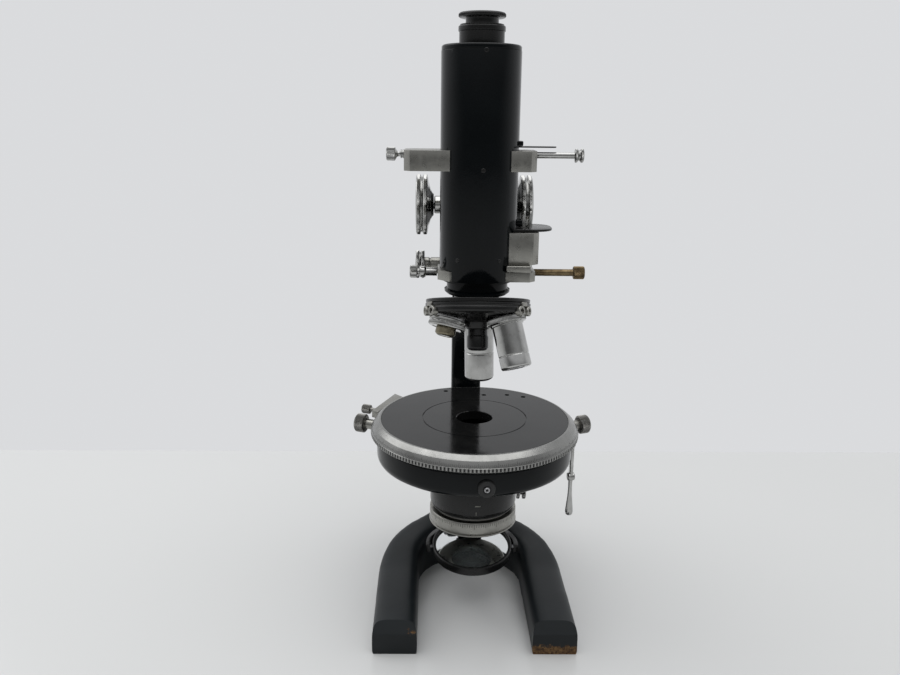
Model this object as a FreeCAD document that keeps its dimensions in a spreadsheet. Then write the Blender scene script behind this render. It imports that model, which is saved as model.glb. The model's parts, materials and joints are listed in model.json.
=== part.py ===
import FreeCAD, Part
import math
import os
import re
import Sketcher

# Compound polarizing microscope: horseshoe base, inclinable limb, rotating stage, substage with
# polarizer, mirror, focusing tube with analyzer, Bertrand and compensator slides, nosepiece, eyepiece.
# Millimetres. +Z is up, -Y faces the toes of the base. Every position below is measured from the
# optical axis at floor level; axis_y moves the whole instrument so that its box is centred on the origin.

os.makedirs("parts", exist_ok=True)
doc = FreeCAD.newDocument("microscope")
dims = doc.addObject("Spreadsheet::Sheet", "dims")
Vector = FreeCAD.Vector

SIZES = {
    # frame
    "axis_y": -14.7, "run": 0.06,
    # base and inclination joint
    "toe_x": 61.5, "toe_in": 34.7, "toe_y": -63.4, "toe_h": 20, "toe_face": 13.5, "toe_slope": 5,
    "arc_y": 2, "bay_y": 12, "heel_y": 95, "heel_w": 44, "heel_round": 8, "skew": -0.85,
    "pivot_y": 78, "pivot_z": 84, "ear_r": 11.5, "pin_r": 4, "slot_gap": 0.3, "slot_z": 27,
    # limb
    "limb_x": -3.4, "limb_w": 21, "post_front": 69, "post_back": 87, "barrel_r": 10.5,
    "tail_z": 30, "head_w": 34, "head_front": 56, "head_low": 198, "head_top": 288, "tongue_w": 7,
    "tongue_tip": 9, "tongue_d": 6,
    # fine adjustment
    "fine_y": 62, "fine_z": 214.5, "fine_rod": 3, "fine_boss": 4.8, "fine_knob": 9.4,
    "fine_out": 33,
    # coarse adjustment
    "block_w": 19, "block_front": 26, "block_low": 236, "block_top": 284, "dove_in": 8.4,
    "dove_out": 10, "dove_y": 29, "rack_w": 3.5, "coarse_y": 40, "coarse_z": 257, "tooth": 0.8,
    "teeth": 12, "gear_w": 4.3, "coarse_rod": 3, "coarse_boss": 5.35, "coarse_knob": 19,
    "coarse_hub": 22.9, "coarse_out": 26.9, "coarse_short": 2.9, "rack_low": 222, "rack_top": 292,
    # body tube
    "tube_r": 22.9, "tube_in": 20.9, "tube_low": 218, "tube_top": 347.5, "cap_top": 350.5,
    "draw_r": 12.8, "draw_in": 11.7, "draw_low": 306, "draw_top": 360.8, "collar_low": 357.6,
    "collar_r": 13.3, "eye_r": 11.63, "flange_low": 365, "eye_top": 367.9, "flange_r": 13.33,
    "eye_neck": 9.3,
    # boxes on the tube
    "box_y": 14.8, "corner": 3.5, "bert_low": 281.4, "bert_top": 293, "bert_left": 43.7,
    "bert_right": 32.4, "bert_z": 290.3, "bert_go": 20, "bert_bar": 1.8, "bert_pull": 60.7, "pull_rod": 1.85,
    "pull_head": 4, "light_r": 9, "anal_low": 228, "anal_top": 246.6, "anal_right": 35.2,
    "anal_plate": 44, "comp_low": 218, "comp_top": 223.8, "comp_left": 24, "comp_right": 33.5,
    "comp_y": 16.5, "comp_z": 221, "comp_end": 64.7,
    # neck and nosepiece
    "neck_r": 18.4, "bead_r": 19.8, "throat_r": 13.6, "neck_low": 205, "tilt": 15, "cone_z": 265,
    "nose_r": 31.5, "plate_t": 59.6, "dome_t": 62.1, "seat_t": 73.2, "boss_t": 90,
    "boss_r": 5.9, "high_r": 9, "high_t": 111.3, "mid_r": 8.9, "mid_t": 103, "low_t": 84.4,
    # stage
    "stage_z": 127.6, "stage_r": 59.15, "stage_rim": 65.6, "rim_low": 118.5, "stage_hole": 11.3,
    "hub_r": 50, "bearing_r": 54, "drum_r": 61.8, "drum_low": 100.4, "drum_top": 118.1,
    "drum_in": 55.5, "drum_hole": 29.5, "screw_z": 112, "screw_turn": 21.3, "screw_r": 2.4,
    "screw_end": 83.4, "screw_head": 6.2, "clip_r": 1.6, "insert_r": 32.8, "plunger_turn": -85.8,
    "plunger_z": 107.9, "lever_turn": 8, "lever_z": 107,
    # substage and mirror
    "sub_r": 27.7, "sub_in": 24.5, "sub_low": 69.5, "sub_top": 100, "ring_r": 27.9, "ring_low": 57.7,
    "ring_top": 67.6, "gear_y": 50, "gear_z": 52.5, "mirror_z": 36.5, "mirror_r": 26.2,
    "mirror_in": 24, "mirror_lean": 9, "fork_in": 27.4, "fork_out": 30.4,
    "guide_x": 5, "gear_rod": 2, "stem_r": 3,
}
for row, (alias, value) in enumerate(SIZES.items(), 1):
    dims.set(f"A{row}", alias)
    dims.set(f"B{row}", str(value))
    dims.setAlias(f"B{row}", alias)
doc.recompute()

WORDS = re.compile(r"\b(" + "|".join(sorted(SIZES, key=len, reverse=True)) + r")\b")
PLANES = {"XY": "XY_Plane", "XZ": "XZ_Plane", "YZ": "YZ_Plane"}
built = []


def num(formula):
    """Value of a formula written in sheet names."""
    return float(dims.evalExpression(str(formula)))


def bind(target, prop, formula):
    """Ties a property to a formula written in sheet names."""
    target.setExpression(prop, WORDS.sub(r"dims.\1", str(formula)))


def place(item, x=0, y=0, z=0, turn=None):
    """Puts an item at a point measured from the optical axis."""
    if turn is not None:
        item.Placement = FreeCAD.Placement(Vector(), turn)
    bind(item, "Placement.Base.x", x)
    bind(item, "Placement.Base.y", f"axis_y + ({y})")
    bind(item, "Placement.Base.z", z)
    return item


def body(name, x=0, y=0, z=0, turn=None):
    """New named body."""
    item = doc.addObject("PartDesign::Body", name)
    item.Label = name
    built.append(item)
    return place(item, x, y, z, turn)


def sketch_on(item, plane, level):
    """Empty sketch on a plane of the body, moved along the plane's normal."""
    sketch = item.newObject("Sketcher::SketchObject", f"{item.Name}_sketch")
    face = [f for f in item.Origin.OriginFeatures if f.Role == PLANES[plane]][0]
    sketch.AttachmentSupport = [(face, "")]
    sketch.MapMode = "FlatFace"
    bind(sketch, "AttachmentOffset.Base.z", level)
    return sketch


def fix(sketch, geo, spot, point):
    """Ties one sketch point to two formulas."""
    for kind, formula in zip(("DistanceX", "DistanceY"), point):
        index = sketch.addConstraint(Sketcher.Constraint(kind, -1, 1, geo, spot, num(formula)))
        bind(sketch, f"Constraints[{index}]", formula)


def draw(sketch, shape, arcs=None):
    """Draws a closed outline (list of points) or a circle ((x, y), radius).

    arcs maps a segment's index to (radius, side): side 1 bends counter-clockwise, -1 clockwise.
    """
    if isinstance(shape, tuple):
        centre, radius = shape
        circle = Part.Circle(Vector(num(centre[0]), num(centre[1]), 0), Vector(0, 0, 1), num(radius))
        geo = sketch.addGeometry(circle)
        fix(sketch, geo, 3, centre)
        index = sketch.addConstraint(Sketcher.Constraint("Radius", geo, num(radius)))
        bind(sketch, f"Constraints[{index}]", radius)
        return
    corners = [Vector(num(x), num(y), 0) for x, y in shape]
    base = sketch.GeometryCount
    starts, ends = [], []
    for i, start in enumerate(corners):
        end = corners[(i + 1) % len(corners)]
        if arcs and i in arcs:
            radius, side = num(arcs[i][0]), arcs[i][1]
            chord = end - start
            reach = math.sqrt(max(radius ** 2 - chord.Length ** 2 / 4, 0)) / chord.Length
            centre = (start + end) / 2 + Vector(-chord.y, chord.x, 0) * reach * side
            first, last = (start, end) if side > 0 else (end, start)
            angles = [math.atan2(p.y - centre.y, p.x - centre.x) for p in (first, last)]
            sketch.addGeometry(Part.ArcOfCircle(Part.Circle(centre, Vector(0, 0, 1), radius), *angles))
            starts.append(1 if side > 0 else 2)
        else:
            sketch.addGeometry(Part.LineSegment(start, end))
            starts.append(1)
        ends.append(3 - starts[-1])
    for i, point in enumerate(shape):
        fix(sketch, base + i, starts[i], point)
        behind = (i - 1) % len(shape)
        sketch.addConstraint(
            Sketcher.Constraint("Coincident", base + behind, ends[behind], base + i, starts[i])
        )
    for i, (radius, side) in (arcs or {}).items():
        index = sketch.addConstraint(Sketcher.Constraint("Radius", base + i, num(radius)))
        bind(sketch, f"Constraints[{index}]", radius)


def swept(item, kind, plane, low, high, shapes, arcs=None):
    """Pad or pocket of outlines between two levels along the plane's axis."""
    flip = plane == "XZ"
    starts_low = (kind == "Pad") != flip
    level = low if starts_low else high
    sketch = sketch_on(item, plane, f"-({level})" if flip else level)
    for shape in shapes:
        draw(sketch, shape, arcs)
    feature = item.newObject(f"PartDesign::{kind}", f"{item.Name}_{kind.lower()}")
    feature.Profile = sketch
    bind(feature, "Length", f"({high}) - ({low})")
    item.Tip = feature
    return feature


def pad(item, plane, low, high, *shapes, arcs=None):
    return swept(item, "Pad", plane, low, high, shapes, arcs)


def cut(item, plane, low, high, *shapes, arcs=None):
    return swept(item, "Pocket", plane, low, high, shapes, arcs)


def spin(item, points, kind="Revolution", arcs=None):
    """Revolves an outline of (radius, height) points about the body's Z axis."""
    sketch = sketch_on(item, "XZ", 0)
    draw(sketch, points, arcs)
    feature = item.newObject(f"PartDesign::{kind}", f"{item.Name}_{kind.lower()}")
    feature.Profile = sketch
    feature.ReferenceAxis = (sketch, ["V_Axis"])
    feature.Angle = 360
    item.Tip = feature
    return feature


def turned(name, points, x=0, y=0, z=0, turn=None, arcs=None):
    """A lathe-turned body."""
    item = body(name, x, y, z, turn)
    spin(item, points, arcs=arcs)
    return item


def box(left, right, front, back):
    """Rectangle between two x values and two y values."""
    return [(left, front), (right, front), (right, back), (left, back)]


def ringed(item, name, count):
    """Repeats the last feature of a body around its Z axis."""
    pattern = item.newObject("PartDesign::PolarPattern", name)
    pattern.Originals = [item.Tip]
    pattern.Axis = ([f for f in item.Origin.OriginFeatures if f.Role == "Z_Axis"][0], [""])
    pattern.Angle = 360
    bind(pattern, "Occurrences", count)
    item.Tip = pattern


def group(name, members):
    """Several identical solids kept as one named group."""
    item = doc.addObject("Part::Compound", name)
    item.Links = members
    item.Label = name
    built.append(item)
    return item


def outward(azimuth):
    """Lays a body's Z axis along a horizontal direction, azimuth in degrees from +X.

    Its X axis then points down.
    """
    level = FreeCAD.Rotation(Vector(0, 1, 0), 90)
    return FreeCAD.Rotation(Vector(0, 0, 1), azimuth).multiply(level)


def drilled(name, item, rods):
    """Cuts round holes, each (radius, length, placement values for place()), out of a body."""
    tools = []
    for radius, length, spot in rods:
        rod = doc.addObject("Part::Cylinder", f"{name}_drill")
        bind(rod, "Radius", radius)
        bind(rod, "Height", length)
        tools.append(place(rod, *spot))
    union = tools[0]
    if len(tools) > 1:
        union = doc.addObject("Part::MultiFuse", f"{name}_drills")
        union.Shapes = tools
    result = doc.addObject("Part::Cut", f"{name}_drilled")
    result.Base = item
    result.Tool = union
    built[built.index(item)] = result
    item.Label = f"{name}_blank"
    result.Label = name
    return result


def toothed(item, count):
    """Adds a pinion's teeth, straight sided and a little slack, around a body's Z axis."""
    root, tip = "tooth * (teeth / 2 - 2)", "tooth * (teeth / 2 + 0.68)"
    pad(item, "XY", "-gear_w", "gear_w", [(root, "-0.75"), (tip, "-0.28"), (tip, "0.28"), (root, "0.75")])
    ringed(item, f"{item.Name}_teeth", count)


def racked(item, pitch_y, middle, low, high):
    """Adds rack teeth facing +Y along a body; a gap between teeth stands at height middle."""
    pitch = math.pi * num("tooth")
    below = math.floor((num(middle) - num(low)) / pitch - 0.9)
    above = math.floor((num(high) - num(middle)) / pitch - 0.9)
    first = f"({middle}) - {below} * pi * tooth - pi * tooth / 2"
    root, tip = f"({pitch_y}) - tooth * 1.2", f"({pitch_y}) + tooth * 0.85"
    pad(
        item, "YZ", "-rack_w", "rack_w",
        [(root, f"{first} - 0.91"), (tip, f"{first} - 0.31"), (tip, f"{first} + 0.31"),
         (root, f"{first} + 0.91")],
    )
    pattern = item.newObject("PartDesign::LinearPattern", f"{item.Name}_teeth")
    pattern.Originals = [item.Tip]
    pattern.Direction = ([f for f in item.Origin.OriginFeatures if f.Role == "Z_Axis"][0], [""])
    bind(pattern, "Length", f"{below + above} * pi * tooth")
    pattern.Occurrences = below + above + 1
    item.Tip = pattern


# ---------------------------------------------------------------- base
base = body("base_casting")
heel_left, heel_right = "limb_x - heel_w / 2", "limb_x + heel_w / 2"
pad(
    base, "XY", "0", "pivot_z + ear_r",
    [
        ("-toe_x", "toe_y"), ("-toe_in", "toe_y"), ("-toe_in + skew", "bay_y"), ("skew", "bay_y + toe_in"),
        ("toe_in + skew", "bay_y"), ("toe_in", "toe_y"), ("toe_x", "toe_y"), ("toe_x + skew", "arc_y"),
        (heel_right, "arc_y + sqrt(toe_x ^ 2 - heel_w ^ 2 / 4)"),
        (heel_right, "heel_y - heel_round"), (f"{heel_right} - heel_round", "heel_y"),
        (f"{heel_left} + heel_round", "heel_y"), (heel_left, "heel_y - heel_round"),
        (heel_left, "arc_y + sqrt(toe_x ^ 2 - heel_w ^ 2 / 4)"), ("-toe_x + skew", "arc_y"),
    ],
    arcs={2: ("toe_in", -1), 3: ("toe_in", -1), 7: ("toe_x", 1), 9: ("heel_round", 1),
          11: ("heel_round", 1), 13: ("toe_x", 1)},
)
# side view: low arms that rise to the two ears of the inclination joint
cut(
    base, "YZ", "-toe_x - 1", "toe_x + 1",
    [
        ("toe_y - 1", "toe_face"), ("toe_y", "toe_face"), ("toe_y + toe_slope", "toe_h"),
        ("arc_y", "toe_h + 1"), ("arc_y + 26", "toe_h + 7"), ("arc_y + 50", "toe_h + 12"),
        ("pivot_y - ear_r - 4", "toe_h + 20"), ("pivot_y - ear_r", "pivot_z"),
        ("pivot_y", "pivot_z + ear_r"), ("pivot_y + ear_r", "pivot_z"),
        ("heel_y - 2", "toe_h + 12"), ("heel_y + 1", "toe_h + 4"), ("heel_y + 1", "pivot_z + ear_r + 1"),
        ("toe_y - 1", "pivot_z + ear_r + 1"),
    ],
    arcs={3: ("120", 1), 5: ("18", 1), 7: ("ear_r", -1), 8: ("ear_r", -1)},
)
cut(
    base, "XY", "slot_z", "pivot_z + ear_r + 1",
    box("limb_x - limb_w / 2 - slot_gap", "limb_x + limb_w / 2 + slot_gap", "bay_y", "heel_y + 1"),
)
cut(base, "YZ", f"{heel_left} - 1", f"{heel_right} + 1", (("pivot_y", "pivot_z"), "pin_r"))

turned(
    "inclination_pin",
    [
        ("0", "-5"), ("7.5", "-5"), ("8.5", "-4"), ("8.5", "0"), ("pin_r", "0"), ("pin_r", "heel_w"),
        ("8.5", "heel_w"), ("8.5", "heel_w + 4"), ("7.5", "heel_w + 5"), ("0", "heel_w + 5"),
    ],
    heel_left, "pivot_y", "pivot_z", outward(0),
)

# ---------------------------------------------------------------- limb
limb = body("limb")
pad(
    limb, "YZ", "limb_x - limb_w / 2", "limb_x + limb_w / 2",
    [
        ("post_front", "tail_z"), ("pivot_y", "tail_z"), ("pivot_y + 2", "pivot_z - barrel_r"),
        ("post_back", "pivot_z"), ("post_back", "head_low - 14"),
        ("post_back + 6", "head_low + 22"), ("post_back + 2", "head_top - 24"),
        ("pivot_y", "head_top - 6"), ("post_front", "head_top - 6"),
    ],
    arcs={2: ("13", 1), 4: ("80", -1), 5: ("70", 1), 6: ("24", 1)},
)
pad(
    limb, "XY", "head_low", "head_top",
    [
        ("-head_w / 2", "head_front"), ("-tongue_w", "head_front"),
        ("-tongue_tip", "head_front - tongue_d"), ("tongue_tip", "head_front - tongue_d"),
        ("tongue_w", "head_front"), ("head_w / 2", "head_front"), ("head_w / 2", "post_front + 3"),
        ("head_w / 2 - 6", "post_front + 9"), ("-head_w / 2 + 6", "post_front + 9"),
        ("-head_w / 2", "post_front + 3"),
    ],
    arcs={6: ("6", 1), 8: ("6", 1)},
)
cut(limb, "XY", "head_low", "block_low - 10",
    box("-tongue_tip - 1", "tongue_tip + 1", "head_front - tongue_d - 1", "head_front"))
cut(limb, "YZ", "-head_w / 2 - 1", "head_w / 2 + 1", (("fine_y", "fine_z"), "fine_rod + run"))
cut(limb, "YZ", "limb_x - limb_w / 2 - 1", "limb_x + limb_w / 2 + 1",
    (("pivot_y", "pivot_z"), "pin_r + run"))
# socket for the mirror's stem
cut(limb, "XZ", "post_front - 1", "post_front + 7", (("0", "mirror_z"), "stem_r + run"))

# bracket that carries the stage, with the channel of the substage slide below it
bracket = body("stage_bracket")
pad(bracket, "XY", "drum_low - 6", "drum_low",
    [("-20", "drum_hole + 4"), ("20", "drum_hole + 4"), ("12", "post_front"), ("-15", "post_front")])
pad(
    bracket, "XY", "gear_z - 7", "drum_low",
    [
        ("-11", "gear_y - 10.5"), ("-guide_x - run", "gear_y - 10.5"), ("-guide_x - run", "gear_y + 6.2"),
        ("guide_x + run", "gear_y + 6.2"), ("guide_x + run", "gear_y - 10.5"), ("11", "gear_y - 10.5"),
        ("11", "gear_y + 11.5"), ("6", "gear_y + 11.5"), ("6", "post_front"), ("-11", "post_front"),
    ],
)
cut(bracket, "YZ", "-12", "12", (("gear_y", "gear_z"), "gear_rod + run"))

# ---------------------------------------------------------------- stage
drum = turned(
    "stage_drum",
    [
        ("drum_hole", "drum_low"), ("drum_r - 5", "drum_low"), ("drum_r", "drum_low + 5"),
        ("drum_r", "drum_top"), ("drum_in", "drum_top"), ("drum_in", "drum_low + 4"),
        ("drum_hole", "drum_low + 4"),
    ],
    arcs={1: ("5", 1)},
)
SCREWS = {"left": num("180 - screw_turn"), "right": num("screw_turn")}
WAYS = [("screw_z", "180 - screw_turn"), ("screw_z", "screw_turn"), ("plunger_z", "plunger_turn"),
        ("lever_z", "lever_turn")]
drilled("stage_drum", drum,
        [("screw_r + run", "drum_r + 9", (0, 0, height, outward(num(turn)))) for height, turn in WAYS])

turned(
    "stage_bearing",
    [("hub_r + run", "drum_low + 4"), ("bearing_r", "drum_low + 4"), ("bearing_r", "drum_top - 2"),
     ("hub_r + run", "drum_top - 2")],
)
turned(
    "stage_plunger",
    [
        ("0", "bearing_r + 0.1"), ("screw_r", "bearing_r + 0.1"), ("screw_r", "drum_r + 0.1"),
        ("5", "drum_r + 0.1"), ("5", "drum_r + 2"), ("4.3", "drum_r + 2.7"), ("0", "drum_r + 2.7"),
    ],
    0, 0, "plunger_z", outward(num("plunger_turn")),
)
for side in ("left", "right"):
    turned(
        f"centring_screw_{side}",
        [
            ("0", "bearing_r + 0.1"), ("screw_r", "bearing_r + 0.1"), ("screw_r", "drum_r + 0.6"),
            ("3.4", "drum_r + 0.6"), ("3.4", "screw_end - 7"), ("screw_head - 0.8", "screw_end - 7"),
            ("screw_head", "screw_end - 6.2"), ("screw_head", "screw_end - 0.9"),
            ("screw_head - 0.9", "screw_end"), ("0", "screw_end"),
        ],
        0, 0, "screw_z", outward(SCREWS[side]),
    )

plate = turned(
    "stage_plate",
    [
        ("stage_hole", "stage_z - 5.6"), ("hub_r - 4", "stage_z - 5.6"), ("hub_r - 4", "drum_low + 5.4"),
        ("hub_r", "drum_low + 5.4"), ("hub_r", "stage_z - 5.6"), ("stage_r", "stage_z - 5.6"),
        ("stage_r", "stage_z - 0.3"), ("stage_r - 0.3", "stage_z"), ("stage_hole + 0.3", "stage_z"),
        ("stage_hole", "stage_z - 0.3"),
    ],
)
spin(
    plate,
    [("insert_r - 0.3", "stage_z - 0.5"), ("insert_r + 0.3", "stage_z - 0.5"),
     ("insert_r + 0.3", "stage_z + 1"), ("insert_r - 0.3", "stage_z + 1")],
    "Groove",
)
CLIP_HOLES = [("-17.9", "50.5"), ("8.1", "42.8"), ("24", "43.2"), ("34.7", "39.3")]
cut(plate, "XY", "stage_z - 4", "stage_z", *[(spot, "clip_r") for spot in CLIP_HOLES])

turned(
    "stage_rim",
    [
        ("stage_r", "rim_low"), ("stage_rim - 0.5", "rim_low"), ("stage_rim", "rim_low + 0.5"),
        ("stage_rim", "rim_low + 2.4"), ("stage_rim - 2.2", "stage_z - 2.6"), ("stage_r + 1.2", "stage_z"),
        ("stage_r", "stage_z"),
    ],
)

# vernier arm beside the rim, with its thumbscrew
arm = body("vernier_arm")
pad(arm, "XY", "rim_low - 0.1", "rim_low + 4.4",
    [("-61.5", "19.5"), ("-66.9", "23.1"), ("-53.5", "57.7"), ("-45", "48")])
pad(arm, "XY", "drum_top - 12", "rim_low - 0.1",
    [("-51.4", "30.9"), ("-59.1", "35.5"), ("-48.8", "48.8"), ("-42.4", "42.4")])
cut(arm, "XY", "drum_top - 13", "drum_top", (("0", "0"), "drum_r"))
cut(arm, "XY", "drum_top", "rim_low + 5", (("0", "0"), "stage_rim + 0.4"))
VERNIER = ("-64.3", "29.85", "rim_low + 2.2", outward(158.8))
deep = ("-64.3 + 6 * cos(21.2)", "29.85 - 6 * sin(21.2)", "rim_low + 2.2", outward(158.8))
drilled("vernier_arm", arm, [("1.3 + run", "12", deep)])
turned(
    "vernier_screw",
    [("0", "-3.4"), ("1.3", "-3.4"), ("1.3", "4.4"), ("2.7", "4.4"), ("3.1", "4.8"), ("3.1", "9.8"),
     ("2.7", "10.2"), ("0", "10.2")],
    *VERNIER,
)

# lever that locks the stage: its pin runs in the drum and its handle hangs down (local +X)
lever = turned(
    "clamp_lever",
    [("0", "drum_in + 1"), ("screw_r", "drum_in + 1"), ("screw_r", "drum_r + 1"), ("4.5", "drum_r + 1"),
     ("4.5", "drum_r + 5"), ("0", "drum_r + 5")],
    0, 0, "lever_z", outward(num("lever_turn")),
)
pad(lever, "XY", "drum_r + 2.2", "drum_r + 4.6", box("0", "25", "-2.4", "2.4"))
pad(lever, "XY", "drum_r + 1", "drum_r + 6.2", (("24", "0"), "3"))
grip = sketch_on(lever, "XZ", 0)
bind(grip, "AttachmentOffset.Base.y", "drum_r + 3.6")
draw(
    grip,
    [("25", "0"), ("52", "0"), ("50", "2"), ("45", "2.6"), ("30", "1.5"), ("25", "1.6")],
    arcs={1: ("2.4", 1), 3: ("60", -1)},
)
handle = lever.newObject("PartDesign::Revolution", "clamp_lever_handle")
handle.Profile = grip
handle.ReferenceAxis = (grip, ["H_Axis"])
handle.Angle = 360
lever.Tip = handle

# ---------------------------------------------------------------- fine adjustment
block = body("fine_block")
pad(
    block, "XY", "block_low", "block_top",
    [
        ("-block_w", "block_front"), ("-dove_in", "block_front"), ("-dove_out", "dove_y"),
        ("-rack_w - 0.9", "dove_y"), ("-rack_w - 0.9", "coarse_y - 3"),
        ("rack_w + 0.9", "coarse_y - 3"), ("rack_w + 0.9", "dove_y"), ("dove_out", "dove_y"),
        ("dove_in", "block_front"), ("block_w", "block_front"), ("block_w", "head_front - 0.3"),
        ("tongue_w + 0.18", "head_front - 0.3"), ("tongue_tip + 0.12", "head_front - tongue_d - 0.1"),
        ("-tongue_tip - 0.12", "head_front - tongue_d - 0.1"), ("-tongue_w - 0.18", "head_front - 0.3"),
        ("-block_w", "head_front - 0.3"),
    ],
)
pad(block, "YZ", "-coarse_out + 0.4", "coarse_hub", (("coarse_y", "coarse_z"), "coarse_boss"))
cut(block, "YZ", "-gear_w - 0.4", "gear_w + 0.4",
    (("coarse_y", "coarse_z"), "tooth * (teeth / 2 + 1.3)"))
cut(block, "YZ", "-coarse_out", "coarse_hub + 1", (("coarse_y", "coarse_z"), "coarse_rod + run"))

turned(
    "fine_shaft",
    [
        ("0", "-fine_out"), ("fine_boss", "-fine_out"), ("fine_boss", "-head_w / 2 - 0.3"),
        ("fine_rod", "-head_w / 2 - 0.3"), ("fine_rod", "head_w / 2 + 0.3"),
        ("fine_boss", "head_w / 2 + 0.3"), ("fine_boss", "fine_out"), ("0", "fine_out"),
    ],
    0, "fine_y", "fine_z", outward(0),
)
for side, azimuth in (("left", 180), ("right", 0)):
    turned(
        f"fine_knob_{side}",
        [
            ("0", "fine_out"), ("fine_knob - 0.6", "fine_out"), ("fine_knob", "fine_out + 0.6"),
            ("fine_knob", "fine_out + 2.2"), ("fine_knob - 1.4", "fine_out + 2.8"),
            ("fine_knob - 1.4", "fine_out + 3.2"), ("fine_knob", "fine_out + 3.8"),
            ("fine_knob", "fine_out + 5.4"), ("fine_knob - 0.6", "fine_out + 6"), ("0", "fine_out + 6"),
        ],
        0, "fine_y", "fine_z", outward(azimuth),
    )

# ---------------------------------------------------------------- coarse adjustment
shaft = turned(
    "coarse_pinion",
    [
        ("0", "-coarse_out"), ("coarse_rod", "-coarse_out"), ("coarse_rod", "-gear_w"),
        ("tooth * (teeth / 2 - 1.25)", "-gear_w"), ("tooth * (teeth / 2 - 1.25)", "gear_w"),
        ("coarse_rod", "gear_w"), ("coarse_rod", "coarse_out - coarse_short"),
        ("0", "coarse_out - coarse_short"),
    ],
    0, "coarse_y", "coarse_z", outward(0),
)
toothed(shaft, "teeth")
for side, azimuth, foot in (("left", 180, "coarse_out"), ("right", 0, "coarse_out - coarse_short")):
    turned(
        f"coarse_knob_{side}",
        [
            ("0", foot), ("7", foot), ("8.2", f"{foot} + 1.5"), ("coarse_knob - 1.4", f"{foot} + 3.6"),
            ("coarse_knob", f"{foot} + 4.2"), ("coarse_knob", f"{foot} + 6.4"),
            ("coarse_knob - 1.5", f"{foot} + 7.2"), ("coarse_knob - 1.5", f"{foot} + 7.8"),
            ("coarse_knob", f"{foot} + 8.6"), ("coarse_knob", f"{foot} + 10.6"),
            ("coarse_knob - 1", f"{foot} + 11.2"), ("0", f"{foot} + 11.2"),
        ],
        0, "coarse_y", "coarse_z", outward(azimuth),
    )

# ---------------------------------------------------------------- body tube
tube = turned("body_tube", [("tube_in", "tube_low"), ("tube_r", "tube_low"), ("tube_r", "tube_top"),
                            ("tube_in", "tube_top")])
pad(tube, "XY", "bert_top + 2.6", "bert_top + 5.4", box("tube_in + 0.5", "tube_r + 1.9", "-6", "6"))
pad(tube, "XY", "anal_top + 2.2", "anal_top + 6", box("tube_in + 1", "tube_r + 3.4", "-1", "7"))
pad(tube, "XY", "comp_top", "anal_low", box("12", "30.5", "-comp_y - 2.4", "comp_y + 2.4"))
cut(tube, "XY", "comp_top - 1", "anal_low + 1", (("0", "0"), "tube_in"))
cut(tube, "XY", "bert_low", "bert_top", box("-tube_r - 1", "tube_r + 1", "-box_y", "box_y"))
cut(tube, "XY", "bert_top", "bert_top + 2.6", box("8", "tube_r + 1", "-8.8", "8.8"))
cut(tube, "XY", "anal_low + 1.2", "anal_top + 2", box("8", "tube_r + 1", "-11.3", "11.3"))
cut(tube, "XY", "comp_low", "comp_top", box("-tube_r - 1", "tube_r + 1", "-comp_y", "comp_y"))

turned(
    "tube_top_cap",
    [
        ("draw_r + run", "draw_low + 6"), ("draw_r + 1.8", "draw_low + 6"),
        ("draw_r + 1.8", "tube_top - 3.5"), ("tube_in", "tube_top - 3.5"), ("tube_in", "tube_top"),
        ("tube_r", "tube_top"), ("tube_r", "cap_top - 0.5"), ("tube_r - 0.5", "cap_top"),
        ("draw_r + run", "cap_top"),
    ],
)

slide = body("tube_slide")
pad(
    slide, "XY", "rack_low", "rack_top",
    [
        ("-dove_in + 0.08", "tube_in"), ("dove_in - 0.08", "tube_in"),
        ("dove_in - 0.08", "block_front"), ("dove_out - 0.08", "dove_y - 0.08"),
        ("rack_w", "dove_y - 0.08"), ("rack_w", "coarse_y - tooth * (teeth / 2 + 1.2)"),
        ("-rack_w", "coarse_y - tooth * (teeth / 2 + 1.2)"), ("-rack_w", "dove_y - 0.08"),
        ("-dove_out + 0.08", "dove_y - 0.08"), ("-dove_in + 0.08", "block_front"),
    ],
)
cut(slide, "XY", "rack_low - 1", "rack_top + 1", (("0", "0"), "tube_r"))
racked(slide, "coarse_y - tooth * teeth / 2", "coarse_z", "rack_low", "rack_top")

turned(
    "drawtube",
    [("draw_in", "draw_low"), ("draw_r", "draw_low"), ("draw_r", "collar_low"),
     ("collar_r", "collar_low"), ("collar_r", "draw_top - 0.4"), ("collar_r - 0.4", "draw_top"),
     ("draw_in", "draw_top")],
)
turned(
    "eyepiece_mount",
    [
        ("eye_r - 1.8", "draw_low + 16"), ("eye_r", "draw_low + 16"), ("eye_r", "draw_top"),
        ("collar_r - 0.9", "draw_top"), ("collar_r - 0.9", "draw_top + 0.7"), ("eye_neck", "draw_top + 0.7"),
        ("eye_neck", "flange_low"), ("flange_r", "flange_low"), ("flange_r", "eye_top - 0.9"),
        ("flange_r - 0.9", "eye_top"), ("6.6", "eye_top"), ("5", "eye_top - 1.5"),
        ("5", "flange_low + 0.6"), ("7.5", "flange_low + 0.6"), ("7.5", "draw_top - 2.4"),
        ("eye_r - 1.8", "draw_top - 2.4"),
    ],
)
turned(
    "eye_lens",
    [("0", "draw_top - 1.2"), ("7.5", "draw_top"), ("7.5", "flange_low - 1"), ("0", "flange_low + 0.4")],
    arcs={0: ("(7.5 ^ 2 + 1.2 ^ 2) / 2.4", 1), 2: ("(7.5 ^ 2 + 1.4 ^ 2) / 2.8", 1)},
)

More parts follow.
